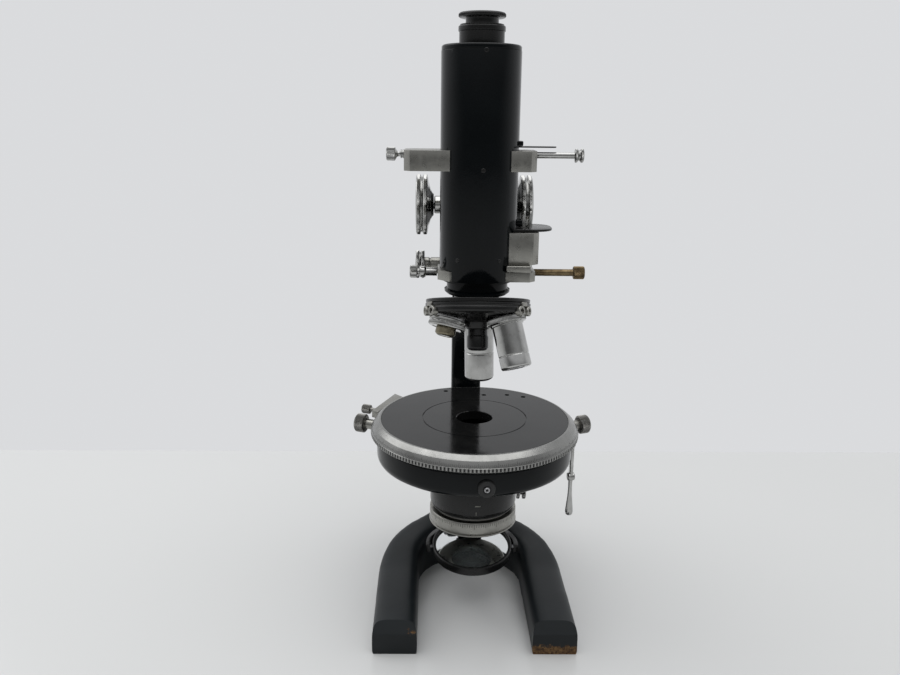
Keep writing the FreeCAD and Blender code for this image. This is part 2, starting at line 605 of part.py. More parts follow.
# ---------------------------------------------------------------- Bertrand slide
house = body("bertrand_box")
pad(
    house, "XY", "bert_low", "bert_top",
    [
        ("-bert_left", "-box_y + corner"), ("-bert_left + corner", "-box_y"),
        ("bert_right - corner", "-box_y"), ("bert_right", "-box_y + corner"),
        ("bert_right", "box_y - corner"), ("bert_right - corner", "box_y"),
        ("-bert_left + corner", "box_y"), ("-bert_left", "box_y - corner"),
    ],
)
cut(house, "XY", "bert_low", "bert_top", (("0", "0"), "light_r"))
cut(house, "YZ", "-bert_left + 3.7", "bert_right",
    box("-8.1", "8.1", "bert_z - bert_bar - 0.1", "bert_z + bert_bar + 0.1"))
cut(house, "YZ", "-bert_left", "-bert_left + 4", (("0", "bert_z"), "1.4 + run"))

bar = body("bertrand_slide")
pad(bar, "XY", "bert_z - bert_bar", "bert_z + bert_bar", box("-12", "bert_right", "-8", "8"))
cut(bar, "XY", "bert_z - bert_bar", "bert_z + bert_bar", (("0", "0"), "6"), (("bert_go", "0"), "7"))
turned("bertrand_lens", [("0", "bert_z - 1.5"), ("6", "bert_z - 0.8"), ("6", "bert_z + 0.8"),
                         ("0", "bert_z + 1.5")])
turned(
    "bertrand_pull",
    [
        ("0", "bert_right"), ("pull_rod", "bert_right"), ("pull_rod", "bert_pull - 5.3"),
        ("pull_head", "bert_pull - 5.1"), ("pull_head", "bert_pull - 3.9"),
        ("pull_head - 0.9", "bert_pull - 3.1"), ("pull_head - 0.9", "bert_pull - 2.2"),
        ("pull_head", "bert_pull - 1.4"), ("pull_head", "bert_pull - 0.5"),
        ("pull_head - 0.5", "bert_pull"), ("0", "bert_pull"),
    ],
    0, 0, "bert_z", outward(0),
)
turned(
    "bertrand_screw",
    [
        ("0", "bert_left - 3.5"), ("1.4", "bert_left - 3.5"), ("1.4", "bert_left + 0.4"),
        ("2.5", "bert_left + 0.4"), ("2.5", "bert_left + 2"), ("1.5", "bert_left + 2.5"),
        ("1.5", "bert_left + 4.4"), ("3.9", "bert_left + 5.6"), ("3.9", "bert_left + 10.2"),
        ("3.4", "bert_left + 10.6"), ("0", "bert_left + 10.6"),
    ],
    0, 0, "bert_z", outward(180),
)
iris = turned("iris_lever", [("light_r + 1", "bert_top + 1.6"), ("tube_in - 1.9", "bert_top + 1.6"),
                             ("tube_in - 1.9", "bert_top + 2.4"), ("light_r + 1", "bert_top + 2.4")])
pad(
    iris, "XY", "bert_top + 1.6", "bert_top + 2.4",
    [("tube_in - 4", "-3"), ("41.6", "-3"), ("44.6", "0"), ("41.6", "3"), ("tube_in - 4", "3")],
    arcs={1: ("3", 1), 2: ("3", 1)},
)

# ---------------------------------------------------------------- analyzer
cage = body("analyzer_box")
pad(
    cage, "XY", "anal_low", "anal_top",
    [("tube_r - 9", "-box_y"), ("anal_right - corner", "-box_y"), ("anal_right", "-box_y + corner"),
     ("anal_right", "box_y - corner"), ("anal_right - corner", "box_y"), ("tube_r - 9", "box_y")],
)
cut(cage, "XY", "anal_low", "anal_top", (("0", "0"), "tube_r"))
cut(cage, "XY", "anal_low + 1.5", "anal_top", box("tube_r - 10", "anal_right - 1.6", "-11", "11"))

shelf = body("analyzer_plate")
pad(
    shelf, "XY", "anal_top + 0.3", "anal_top + 1.6",
    [("-9.5", "-10.8"), ("anal_plate - 11", "-10.8"), ("anal_plate", "0.2"), ("anal_plate", "6.5"),
     ("anal_plate - 11", "17.5"), ("tube_r + 2.5", "17.5"), ("tube_r + 2.5", "10.8"), ("-9.5", "10.8")],
    arcs={1: ("11", 1), 3: ("11", 1)},
)
cut(shelf, "XY", "anal_top + 0.3", "anal_top + 1.6", (("0", "0"), "7"))
carrier = body("analyzer_mount")
pad(carrier, "XY", "anal_low + 3", "anal_top + 0.3", box("-9", "9", "-9", "9"))
cut(carrier, "XY", "anal_low + 3", "anal_top + 0.3", box("-5", "5", "-5", "5"))
prism = body("analyzer_prism")
pad(prism, "XY", "anal_low + 4", "anal_top - 1", box("-5", "5", "-5", "5"))

# ---------------------------------------------------------------- compensator
frame = body("compensator_housing")
pad(
    frame, "XY", "comp_low", "comp_top",
    [
        ("-comp_left", "-comp_y + 7"), ("-comp_left + 7", "-comp_y"), ("comp_right - corner", "-comp_y"),
        ("comp_right", "-comp_y + corner"), ("comp_right", "comp_y - corner"),
        ("comp_right - corner", "comp_y"), ("-comp_left + 7", "comp_y"), ("-comp_left", "comp_y - 7"),
    ],
)
cut(frame, "XY", "comp_low", "comp_top", (("0", "0"), "light_r"))
cut(frame, "YZ", "-comp_left + 3", "comp_right", box("-6.1", "6.1", "comp_z - 1.6", "comp_z + 1.6"))
cut(frame, "YZ", "-comp_left", "-comp_left + 4", (("0", "comp_z"), "1.2 + run"))
strip = body("compensator_slide")
pad(strip, "XY", "comp_z - 1.5", "comp_z + 1.5", box("-12", "comp_right + 0.6", "-6", "6"))
cut(strip, "XY", "comp_z - 1.5", "comp_z + 1.5", (("0", "0"), "5"))
turned("compensator_crystal", [("0", "comp_z - 1.1"), ("5", "comp_z - 1.1"), ("5", "comp_z + 1.1"),
                               ("0", "comp_z + 1.1")])
turned(
    "compensator_pull",
    [
        ("0", "comp_right + 0.6"), ("2.1", "comp_right + 0.6"), ("2.1", "comp_end - 6.7"),
        ("3.5", "comp_end - 6.7"), ("3.9", "comp_end - 6.3"), ("3.9", "comp_end - 0.4"),
        ("3.5", "comp_end"), ("0", "comp_end"),
    ],
    0, 0, "comp_z", outward(0),
)
turned(
    "compensator_screw",
    [
        ("0", "comp_left - 2.5"), ("1.2", "comp_left - 2.5"), ("1.2", "comp_left + 0.4"),
        ("2.6", "comp_left + 0.4"), ("2.6", "comp_left + 7"), ("3.6", "comp_left + 7.6"),
        ("3.6", "comp_left + 10.4"), ("2", "comp_left + 11"), ("2", "comp_left + 12.2"),
        ("3.8", "comp_left + 12.4"), ("3.8", "comp_left + 16.4"), ("3.4", "comp_left + 16.8"),
        ("0", "comp_left + 16.8"),
    ],
    0, 0, "comp_z", outward(180),
)

# ---------------------------------------------------------------- nosepiece
def slant(height_t, y):
    """Height of the plane square to the nosepiece's axis at distance height_t below the cone's tip."""
    return f"cone_z - ({height_t}) / cos(tilt) - ({y}) * tan(tilt)"


neck = turned(
    "nose_adapter",
    [
        ("light_r", "neck_low - 8"), ("throat_r", "neck_low - 8"), ("throat_r", "neck_low + 3"),
        ("bead_r - 1.2", "neck_low + 3.6"), ("bead_r", "neck_low + 4.8"), ("bead_r", "neck_low + 6"),
        ("neck_r", "neck_low + 7"), ("neck_r", "tube_low - 1.6"), ("tube_in", "tube_low - 1.6"),
        ("tube_in", "tube_low"), ("light_r", "tube_low"),
    ],
)
cut(neck, "YZ", "-throat_r - 1", "throat_r + 1",
    [("-15", slant("plate_t", "-15")), ("-15", "neck_low - 9"), ("15", "neck_low - 9"),
     ("15", slant("plate_t", "15"))])

LEAN = FreeCAD.Rotation(Vector(1, 0, 0), -num("tilt"))
AXIS = LEAN.multVec(Vector(0, 0, 1))
disc = turned(
    "nosepiece_plate",
    [
        ("0", "-boss_t"), ("boss_r - 1", "-boss_t"), ("boss_r", "-boss_t + 1"),
        ("boss_r", "-seat_t / cos(tilt) + 0.4"), ("4", "-seat_t / cos(tilt) + 0.4"),
        ("4", "-plate_t - 2"), ("nose_r - 0.5", "-plate_t - 2"), ("nose_r - 0.5", "-plate_t - 0.4"),
        ("nose_r - 0.9", "-plate_t"), ("0", "-plate_t"),
    ],
    0, 0, "cone_z", LEAN,
)
cut(disc, "XY", "-plate_t - 3", "-plate_t + 1", (("0", "(plate_t + 1) * tan(tilt)"), "light_r"))

dome = turned(
    "nosepiece_dome",
    [
        ("4 + run", "-(seat_t - (4 + run) * sin(tilt)) / cos(tilt)"),
        ("nose_r", "-(seat_t - nose_r * sin(tilt)) / cos(tilt)"), ("nose_r", "-dome_t"),
        ("4 + run", "-dome_t"),
    ],
    0, 0, "cone_z", LEAN,
)
cut(dome, "XY", "-seat_t - 4", "-(seat_t + 0.2) / cos(tilt) + 0.4 + 0.3", (("0", "0"), "boss_r + 0.3"))
# three objectives a third of a turn apart; the nosepiece stands a little short of its click
STATIONS = {"high": -5, "low": 115, "medium": 235}


def station(angle):
    """Rotation from the working station to another one around the nosepiece's axis."""
    return FreeCAD.Rotation(AXIS, angle)


DOWN = FreeCAD.Rotation(Vector(1, 0, 0), 180)
drilled("nosepiece_dome", dome,
        [("6.5", "90", (0, 0, "cone_z", station(a).multiply(DOWN))) for a in STATIONS.values()])

pads = []
for name, angle in STATIONS.items():
    toward = LEAN.multiply(FreeCAD.Rotation(Vector(0, 0, 1), 90))
    lug = body(f"centring_pad_{name}", 0, 0, "cone_z", station(angle).multiply(toward))
    feature = spin(lug, [("nose_r", "-68.4"), ("nose_r + 1.8", "-67.8"), ("nose_r + 1.8", "-61"),
                         ("nose_r", "-60.4")])
    feature.Angle = 34
    feature.Midplane = True
    built.remove(lug)
    pads.append(lug)
group("centring_pads", pads)

PROFILES = {
    "high": [
        ("5", "-seat_t"), ("11.2", "-seat_t"), ("11.2", "-seat_t - 3.6"), ("high_r", "-seat_t - 4.4"),
        ("high_r", "-high_t + 1.5"), ("high_r - 1.2", "-high_t"), ("3", "-high_t"), ("3", "-high_t + 2"),
        ("5", "-high_t + 2"),
    ],
    "medium": [
        ("5", "-seat_t"), ("11.2", "-seat_t"), ("11.6", "-seat_t - 0.6"), ("11.6", "-seat_t - 2.8"),
        ("mid_r", "-seat_t - 3.8"), ("mid_r", "-mid_t + 0.8"), ("mid_r - 0.8", "-mid_t"), ("4", "-mid_t"),
        ("4", "-mid_t + 2"), ("5", "-mid_t + 2"),
    ],
    "low": [
        ("5", "-seat_t"), ("11", "-seat_t"), ("11", "-seat_t - 2.6"), ("9.4", "-seat_t - 4.2"),
        ("4.9", "-seat_t - 4.6"), ("4.9", "-low_t"), ("3.2", "-low_t"), ("3.2", "-low_t + 2"),
        ("3.6", "-low_t + 2"), ("3.6", "-seat_t - 3"), ("5", "-seat_t - 2"),
    ],
}
LENSES = {"high": ("3", "high_t"), "medium": ("4", "mid_t"), "low": ("3.2", "low_t")}
for name, angle in STATIONS.items():
    turned(f"objective_{name}", PROFILES[name], 0, 0, "cone_z", station(angle))
for name, (radius, tip) in LENSES.items():
    turned(
        f"objective_{name}_lens",
        [("0", f"-{tip} + 0.2"), (radius, f"-{tip} + 0.2"), (radius, f"-{tip} + 2"), ("0", f"-{tip} + 2")],
        0, 0, "cone_z", station(STATIONS[name]),
    )

# ---------------------------------------------------------------- substage
sub = turned(
    "substage_carriage",
    [
        ("sub_in", "sub_low"), ("sub_r", "sub_low"), ("sub_r", "sub_top"), ("20", "sub_top"),
        ("20", "sub_top - 9"), ("18", "sub_top - 9"), ("18", "sub_top - 11"), ("sub_in", "sub_top - 11"),
    ],
)
pad(sub, "XY", "sub_low + 5", "sub_low + 20",
    box("-guide_x", "guide_x", "sub_in + 1", "gear_y - tooth * (teeth / 2 + 1.2)"))
pad(sub, "XY", "gear_z - 6.5", "sub_low + 20",
    box("-guide_x", "guide_x", "gear_y - 10", "gear_y - tooth * (teeth / 2 + 1.2)"))
racked(sub, "gear_y - tooth * teeth / 2", "gear_z", "gear_z - 6.5", "sub_low + 20")
turned("condenser_lens", [("0", "sub_top - 9"), ("20", "sub_top - 9"), ("20", "sub_top - 6"),
                          ("0", "sub_top + 3")], arcs={2: ("(20 ^ 2 + 9 ^ 2) / 18", 1)})

gear = turned(
    "substage_pinion",
    [
        ("0", "-13.5"), ("3.5", "-13.5"), ("3.5", "-11.4"), ("gear_rod", "-11.4"), ("gear_rod", "-gear_w"),
        ("tooth * (teeth / 2 - 1.25)", "-gear_w"), ("tooth * (teeth / 2 - 1.25)", "gear_w"),
        ("gear_rod", "gear_w"), ("gear_rod", "33.2"), ("4.4", "33.2"), ("4.9", "33.7"), ("4.9", "35.2"),
        ("4.4", "35.7"), ("2.6", "35.9"), ("2.6", "37.1"), ("4.4", "37.3"), ("4.9", "37.8"),
        ("4.9", "39.5"), ("4.4", "40"), ("0", "40"),
    ],
    0, "gear_y", "gear_z", outward(0),
)
toothed(gear, "teeth")

turned(
    "polarizer_ring",
    [
        ("17", "ring_low"), ("ring_r - 0.3", "ring_low"), ("ring_r + 0.4", "ring_low + 0.7"),
        ("ring_r", "ring_low + 1.8"), ("ring_r", "ring_top"), ("sub_in - 0.08", "ring_top"),
        ("sub_in - 0.08", "ring_top + 6.5"), ("20.5", "ring_top + 6.5"), ("20.5", "ring_low + 3.5"),
        ("17", "ring_low + 3.5"),
    ],
)
turned("polarizer_glass", [("0", "ring_low + 3.5"), ("20.5", "ring_low + 3.5"),
                           ("20.5", "ring_low + 5.5"), ("0", "ring_low + 5.5")])

# ---------------------------------------------------------------- mirror
fork = body("mirror_fork", 0, 0, "mirror_z")
pad(
    fork, "XY", "-2.5", "2.5",
    [
        ("fork_out", "-3"), ("fork_out", "0"), ("0", "fork_out"), ("-fork_out", "0"),
        ("-fork_out", "-3"), ("-fork_in", "-3"), ("-fork_in", "0"), ("0", "fork_in"), ("fork_in", "0"),
        ("fork_in", "-3"),
    ],
    arcs={1: ("fork_out", 1), 2: ("fork_out", 1), 6: ("fork_in", -1), 7: ("fork_in", -1)},
)
pad(fork, "XZ", "fork_out - 1", "post_front + 6.8", (("0", "0"), "stem_r"))
cut(fork, "YZ", "-fork_out - 1", "fork_out + 1", (("0", "0"), "1 + run"))

# the mirror rests with its front edge low
FACING = FreeCAD.Rotation(Vector(1, 0, 0), num("mirror_lean"))
rim = turned(
    "mirror_ring",
    [("mirror_in - 1.5", "-3"), ("mirror_r", "-3"), ("mirror_r", "3"), ("mirror_in", "3"),
     ("mirror_in", "-1.5"), ("mirror_in - 1.5", "-1.5")],
    0, 0, "mirror_z", FACING,
)
pad(rim, "YZ", "mirror_r - 0.6", "fork_out - 0.4", (("0", "0"), "1"))
pad(rim, "YZ", "-fork_out + 0.4", "-mirror_r + 0.6", (("0", "0"), "1"))
turned("mirror_glass", [("0", "-1.5"), ("mirror_in", "-1.5"), ("mirror_in", "1.5"), ("0", "1.5")],
       0, 0, "mirror_z", FACING)

# ---------------------------------------------------------------- checks and export
doc.recompute()
for item in doc.Objects:
    if {"Invalid", "Error"} & set(item.State):
        raise SystemExit(f"{item.Label}: {item.State}")
for item in built:
    shape = item.Shape
    if shape.isNull() or not shape.isValid() or not shape.Solids:
        raise SystemExit(f"{item.Label}: bad shape")
    if len(shape.Solids) > 1 and item.TypeId != "Part::Compound":
        raise SystemExit(f"{item.Label}: {len(shape.Solids)} solids")
    shape.exportStep(f"parts/{item.Label}.step")
whole = Part.makeCompound([item.Shape for item in built]).BoundBox
print(len(built), "parts", whole)
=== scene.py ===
import bpy
import json
import math
import bmesh
import numpy as np
from mathutils import Matrix, Vector


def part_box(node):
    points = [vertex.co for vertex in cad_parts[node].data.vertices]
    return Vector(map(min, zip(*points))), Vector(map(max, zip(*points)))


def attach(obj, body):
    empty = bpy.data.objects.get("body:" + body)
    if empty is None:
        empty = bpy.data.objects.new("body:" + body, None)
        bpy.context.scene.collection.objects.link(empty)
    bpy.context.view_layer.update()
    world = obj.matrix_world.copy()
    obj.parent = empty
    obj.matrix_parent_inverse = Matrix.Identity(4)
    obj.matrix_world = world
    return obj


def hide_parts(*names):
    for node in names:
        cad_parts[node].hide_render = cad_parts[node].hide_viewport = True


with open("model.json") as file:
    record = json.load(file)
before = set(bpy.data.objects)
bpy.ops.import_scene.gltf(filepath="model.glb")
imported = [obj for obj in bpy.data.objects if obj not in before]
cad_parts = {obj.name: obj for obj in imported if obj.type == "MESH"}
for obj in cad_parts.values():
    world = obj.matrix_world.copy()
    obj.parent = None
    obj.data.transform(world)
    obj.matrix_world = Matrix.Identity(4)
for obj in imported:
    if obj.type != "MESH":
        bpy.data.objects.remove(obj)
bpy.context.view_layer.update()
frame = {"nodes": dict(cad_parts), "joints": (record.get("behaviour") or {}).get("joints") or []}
NODES = frame["nodes"]
JOINTS = {joint["name"]: joint for joint in frame["joints"]}
MM = 0.001
TOUCH = 1e-6  # metres within which two points count as one
UP = Vector((0, 0, 1))
AXIS_Y = JOINTS["stage_turn"]["pos_m"][1]


# ---------------------------------------------------------------- measures taken from the CAD
def floor_point(z=0.0):
    """A point of the optical axis at height z."""
    return Vector((0, AXIS_Y, z))


def line_of(name):
    """Origin and direction of a hinge."""
    joint = JOINTS[name]
    return Vector(joint["pos_m"]), Vector(joint["axis"]).normalized()


def place_on(origin, axis):
    """Matrix that puts a lathe's foot at origin and its Z axis along axis."""
    turn = UP.rotation_difference(Vector(axis)).to_matrix().to_4x4()
    return Matrix.Translation(origin) @ turn


def span(node, matrix):
    """How far a CAD node reaches along a matrix's Z axis, low and high, and its largest radius, in mm."""
    back = matrix.inverted()
    points = [back @ vertex.co for vertex in NODES[node].data.vertices]
    heights = [p.z for p in points]
    return min(heights) / MM, max(heights) / MM, max(math.hypot(p.x, p.y) for p in points) / MM


# ---------------------------------------------------------------- materials
class Shader:
    """A Principled material under construction, with helpers for its procedural detail."""

    def __init__(self, name, colour, roughness, metallic=0.0, **sockets):
        self.material = bpy.data.materials.new(name)
        self.material.use_nodes = True
        self.tree = self.material.node_tree
        self.shader = self.tree.nodes["Principled BSDF"]
        self.shader.inputs["Metallic"].default_value = metallic
        self.shader.inputs["Roughness"].default_value = roughness
        self.shader.inputs["Base Color"].default_value = (*colour, 1)
        for socket, value in sockets.items():
            self.shader.inputs[socket.replace("_", " ")].default_value = value
        self.place = self.add("ShaderNodeTexCoord").outputs["Object"]

    def add(self, kind, **values):
        node = self.tree.nodes.new(kind)
        for key, value in values.items():
            setattr(node, key, value)
        return node

    def link(self, source, target):
        self.tree.links.new(source, target)

    def noise(self, scale, detail=4.0, roughness=0.55, stretch=(1, 1, 1), distortion=0.0):
        """Noise over the object; scale is in waves per metre."""
        mapping = self.add("ShaderNodeMapping")
        mapping.inputs["Scale"].default_value = stretch
        node = self.add("ShaderNodeTexNoise")
        node.inputs["Scale"].default_value = scale
        node.inputs["Detail"].default_value = detail
        node.inputs["Roughness"].default_value = roughness
        node.inputs["Distortion"].default_value = distortion
        self.link(self.place, mapping.inputs["Vector"])
        self.link(mapping.outputs["Vector"], node.inputs["Vector"])
        return node.outputs["Fac"]

    def ramp(self, source, *stops):
        """Colour ramp with (position, colour or grey) stops."""
        node = self.add("ShaderNodeValToRGB")
        elements = node.color_ramp.elements
        while len(elements) < len(stops):
            elements.new(0.5)
        for element, (position, colour) in zip(elements, stops):
            element.position = position
            element.color = (colour,) * 3 + (1,) if isinstance(colour, (int, float)) else (*colour, 1)
        self.link(source, node.inputs["Fac"])
        return node.outputs["Color"]

    def mix(self, factor, first, second):
        node = self.add("ShaderNodeMix", data_type="RGBA")
        self.link(factor, node.inputs[0])
        for socket, value in ((node.inputs[6], first), (node.inputs[7], second)):
            if isinstance(value, tuple):
                socket.default_value = (*value, 1)
            else:
                self.link(value, socket)
        return node.outputs[2]

    def between(self, source, low, high, to_low=0.0, to_high=1.0):
        """Maps a value from one range onto another, clamped."""
        node = self.add("ShaderNodeMapRange")
        for socket, value in zip(node.inputs[1:5], (low, high, to_low, to_high)):
            socket.default_value = value
        self.link(source, node.inputs[0])
        return node.outputs[0]

    def times(self, first, second):
        node = self.add("ShaderNodeMath", operation="MULTIPLY")
        self.link(first, node.inputs[0])
        if isinstance(second, (int, float)):
            node.inputs[1].default_value = second
        else:
            self.link(second, node.inputs[1])
        return node.outputs[0]

    def colour(self, source):
        self.link(source, self.shader.inputs["Base Color"])

    def rough(self, source):
        self.link(source, self.shader.inputs["Roughness"])

    def bump(self, source, strength, distance):
        node = self.add("ShaderNodeBump")
        node.inputs["Strength"].default_value = strength
        node.inputs["Distance"].default_value = distance
        self.link(source, node.inputs["Height"])
        self.link(node.outputs["Normal"], self.shader.inputs["Normal"])


def enamel(name, gloss=0.1, level=0.004, shine=0.18, worn=False):
    """Black stoved enamel: faint blue-green tint, orange peel, dust, fine scratches."""
    s = Shader(name, (level, level * 1.4, level * 1.6), gloss, Specular_IOR_Level=shine)
    cloud = s.noise(45, 5)
    dust = s.ramp(s.noise(900, 3, 0.7), (0.66, 0.0), (0.74, 1.0))
    base = s.ramp(cloud, (0.3, (level * 0.5, level * 0.75, level * 0.9)),
                  (0.7, (level * 0.9, level * 1.25, level * 1.45)))
    s.colour(s.mix(s.times(dust, 0.14), base, (0.05, 0.05, 0.046)))
    s.rough(s.between(s.noise(120, 6, 0.65), 0.3, 0.7, gloss - 0.03, gloss + 0.05))
    if worn:
        rust_wear(s, base)
    s.bump(s.noise(420, 2), 0.08, 0.0004)
    return s.material


def rust_wear(s, base):
    """Rust with a ragged top along the foot of the right toe's face, and chips on the left toe."""
    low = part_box("base_casting")[0]
    split = s.add("ShaderNodeSeparateXYZ")
    s.link(s.place, split.inputs[0])
    side, depth, height = split.outputs
    # rust: full at the floor, gone 8.5 mm up, on the right arm only and only at its face
    spot = s.times(s.between(height, 0.0035, 0.0085, 1.0, 0.0), s.between(side, 0.0, 0.01))
    spot = s.times(spot, s.between(depth, low.y + 0.0004, low.y + 0.003, 1.0, 0.0))
    # chips: a few millimetres round a point on the left toe's face
    chip = s.add("ShaderNodeVectorMath", operation="DISTANCE")
    s.link(s.place, chip.inputs[0])
    chip.inputs[1].default_value = (low.x * 0.61, low.y + 0.002, 0.0145)
    near = s.between(chip.outputs["Value"], 0.001, 0.006, 0.6, 0.0)
    both = s.add("ShaderNodeMath", operation="MAXIMUM")
    s.link(spot, both.inputs[0])
    s.link(near, both.inputs[1])
    ragged = s.add("ShaderNodeMath", operation="ADD")
    s.link(both.outputs[0], ragged.inputs[0])
    s.link(s.between(s.noise(330, 6, 0.72), 0.35, 0.65, -0.42, 0.34), ragged.inputs[1])
    mask = s.ramp(ragged.outputs[0], (0.48, 0.0), (0.62, 1.0))
    rust = s.ramp(s.noise(620, 5, 0.7), (0.33, (0.02, 0.012, 0.008)), (0.5, (0.1, 0.052, 0.02)),
                  (0.66, (0.22, 0.13, 0.055)))
    s.colour(s.mix(mask, base, rust))
    s.rough(s.mix(mask, (0.42, 0.42, 0.42), (0.75, 0.75, 0.75)))


def satin_black(name, level=0.007, roughness=0.24, shine=0.36):
    """Chemically blackened metal, rubbed smooth, with faint turning marks."""
    s = Shader(name, (level,) * 3, roughness, 0.0, Specular_IOR_Level=shine)
    s.colour(s.ramp(s.noise(60, 5), (0.3, (level * 0.7, level * 0.72, level * 0.74)),
                    (0.7, (level * 1.35, level * 1.35, level * 1.32))))
    s.rough(s.between(s.noise(160, 5, 0.6), 0.3, 0.7, roughness - 0.04, roughness + 0.06))
    s.bump(s.noise(1400, 2), 0.03, 0.0001)
    return s.material


def plated(name, colour=(0.5, 0.5, 0.49), roughness=0.3, stretch=(1, 1, 14)):
    """Satin nickel plate: brushed one way, dulled in patches, warm in small specks."""
    s = Shader(name, colour, roughness, 1.0)
    dull = tuple(0.8 * c for c in colour)
    warm = (colour[0] * 0.75, colour[1] * 0.68, colour[2] * 0.55)
    patches = s.ramp(s.noise(70, 6, 0.65), (0.38, 0.0), (0.72, 1.0))
    base = s.mix(patches, colour, dull)
    specks = s.ramp(s.noise(520, 5, 0.7), (0.62, 0.0), (0.7, 1.0))
    s.colour(s.mix(s.times(specks, 0.35), base, warm))
    s.rough(s.between(s.noise(240, 6, 0.6), 0.3, 0.7, roughness - 0.07, roughness + 0.1))
    s.bump(s.noise(700, 3, 0.6, stretch), 0.12, 0.0002)
    return s.material


def chrome(name):
    """Polished chrome with handling marks and specks of tarnish."""
    s = Shader(name, (0.42, 0.42, 0.41), 0.1, 1.0)
    specks = s.ramp(s.noise(420, 6, 0.72), (0.6, 0.0), (0.68, 1.0))
    haze = s.noise(90, 5, 0.6)
    base = s.ramp(haze, (0.3, (0.34, 0.34, 0.33)), (0.65, (0.5, 0.5, 0.49)))
    s.colour(s.mix(s.times(specks, 0.5), base, (0.14, 0.115, 0.09)))
    s.rough(s.between(s.noise(150, 6, 0.65), 0.3, 0.7, 0.07, 0.17))
    s.bump(s.noise(900, 3), 0.04, 0.0002)
    return s.material


def old_brass(name):
    """Brass gone brown, brighter where fingers rub it."""
    s = Shader(name, (0.19, 0.14, 0.08), 0.4, 1.0)
    s.colour(s.ramp(s.noise(210, 6, 0.7), (0.3, (0.09, 0.064, 0.038)), (0.52, (0.19, 0.14, 0.078)),
                    (0.74, (0.31, 0.24, 0.14))))
    s.rough(s.between(s.noise(300, 5, 0.6), 0.3, 0.7, 0.3, 0.5))
    s.bump(s.noise(900, 3), 0.1, 0.0002)
    return s.material


def glass(name, tint=(0.8, 0.85, 0.85)):
    """Coated lens glass with a trace of dust."""
    s = Shader(name, tint, 0.03, 0.0, Transmission_Weight=0.9, IOR=1.52)
    s.rough(s.between(s.noise(300, 4), 0.45, 0.7, 0.02, 0.12))
    return s.material


def silvered(name):
    """Front-silvered mirror with slight ageing."""
    s = Shader(name, (0.82, 0.84, 0.84), 0.03, 1.0)
    s.colour(s.ramp(s.noise(160, 6, 0.7), (0.28, (0.55, 0.57, 0.56)), (0.42, (0.8, 0.82, 0.82))))
    s.rough(s.between(s.noise(250, 4), 0.4, 0.75, 0.015, 0.1))
    return s.material


def fill(name, colour):
    """Paint or ink wiped into an engraved line; the black one also stands as painted shade in grooves,
    sockets and a hole.
    """
    s = Shader(name, colour, 0.6)
    darker = tuple(0.6 * c for c in colour)
    s.colour(s.ramp(s.noise(800, 3), (0.35, darker), (0.65, colour)))
    return s.material


LOOKS = {
    "enamel": enamel("black_enamel"),
    "base": enamel("base_enamel", gloss=0.42, level=0.009, shine=0.3, worn=True),
    "black": satin_black("satin_black"),
    "plate_black": satin_black("stage_black", level=0.009, roughness=0.1, shine=0.27),
    "knob_black": satin_black("knob_black", level=0.014, roughness=0.5, shine=0.5),
    "plate": plated("nickel_plate", (0.34, 0.335, 0.31)),
    "dull": plated("dull_nickel", (0.27, 0.265, 0.25), 0.34),
    "chrome": chrome("polished_chrome"),
    "rim": plated("satin_chrome", (0.3, 0.3, 0.29), 0.24),
    "steel": plated("turned_steel", (0.42, 0.42, 0.43), 0.3),
    "brass": old_brass("tarnished_brass"),
    "warm": plated("worn_plate", (0.22, 0.195, 0.14), 0.3),
    "glass": glass("lens_glass"),
    "mirror": silvered("mirror_silver"),
    "white": fill("white_fill", (0.3, 0.3, 0.27)),
    # the black fill also serves as painted shade in the rim's serrations, the clamp screws' sockets and
    # the plunger's hole
    "ink_and_shade": fill("black_fill_and_shade", (0.012, 0.012, 0.012)),
}


# ---------------------------------------------------------------- mesh making
def finish_piece(name, mesh, look, body, nodes=(), sharp=32):
    """Turns a mesh into a named piece that rides on a body and stands for CAD nodes."""
    mesh.shade_smooth()
    mesh.set_sharp_from_angle(angle=math.radians(sharp))
    piece = bpy.data.objects.new(name, mesh)
    bpy.context.scene.collection.objects.link(piece)
    mesh.materials.append(LOOKS[look])
    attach(piece, body)
    if nodes:
        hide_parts(*nodes)
    return piece


def soften(profile, radius):
    """Rounds every corner of a (radius, height) outline, the knurl flag kept as a third value."""
    points = [(*p, 0)[:3] for p in profile]
    result = [points[0]]
    for before, here, after in zip(points, points[1:], points[2:]):
        a, b, c = (Vector(p[:2]) for p in (before, here, after))
        reach = min(radius, (a - b).length * 0.4, (c - b).length * 0.4)
        first = b + (a - b).normalized() * reach if reach else b
        last = b + (c - b).normalized() * reach if reach else b
        for step in (0, 0.5, 1):
            p = first.lerp(b, step).lerp(b.lerp(last, step), step)
            result.append((p.x, p.y, here[2]))
    return result + [points[-1]]


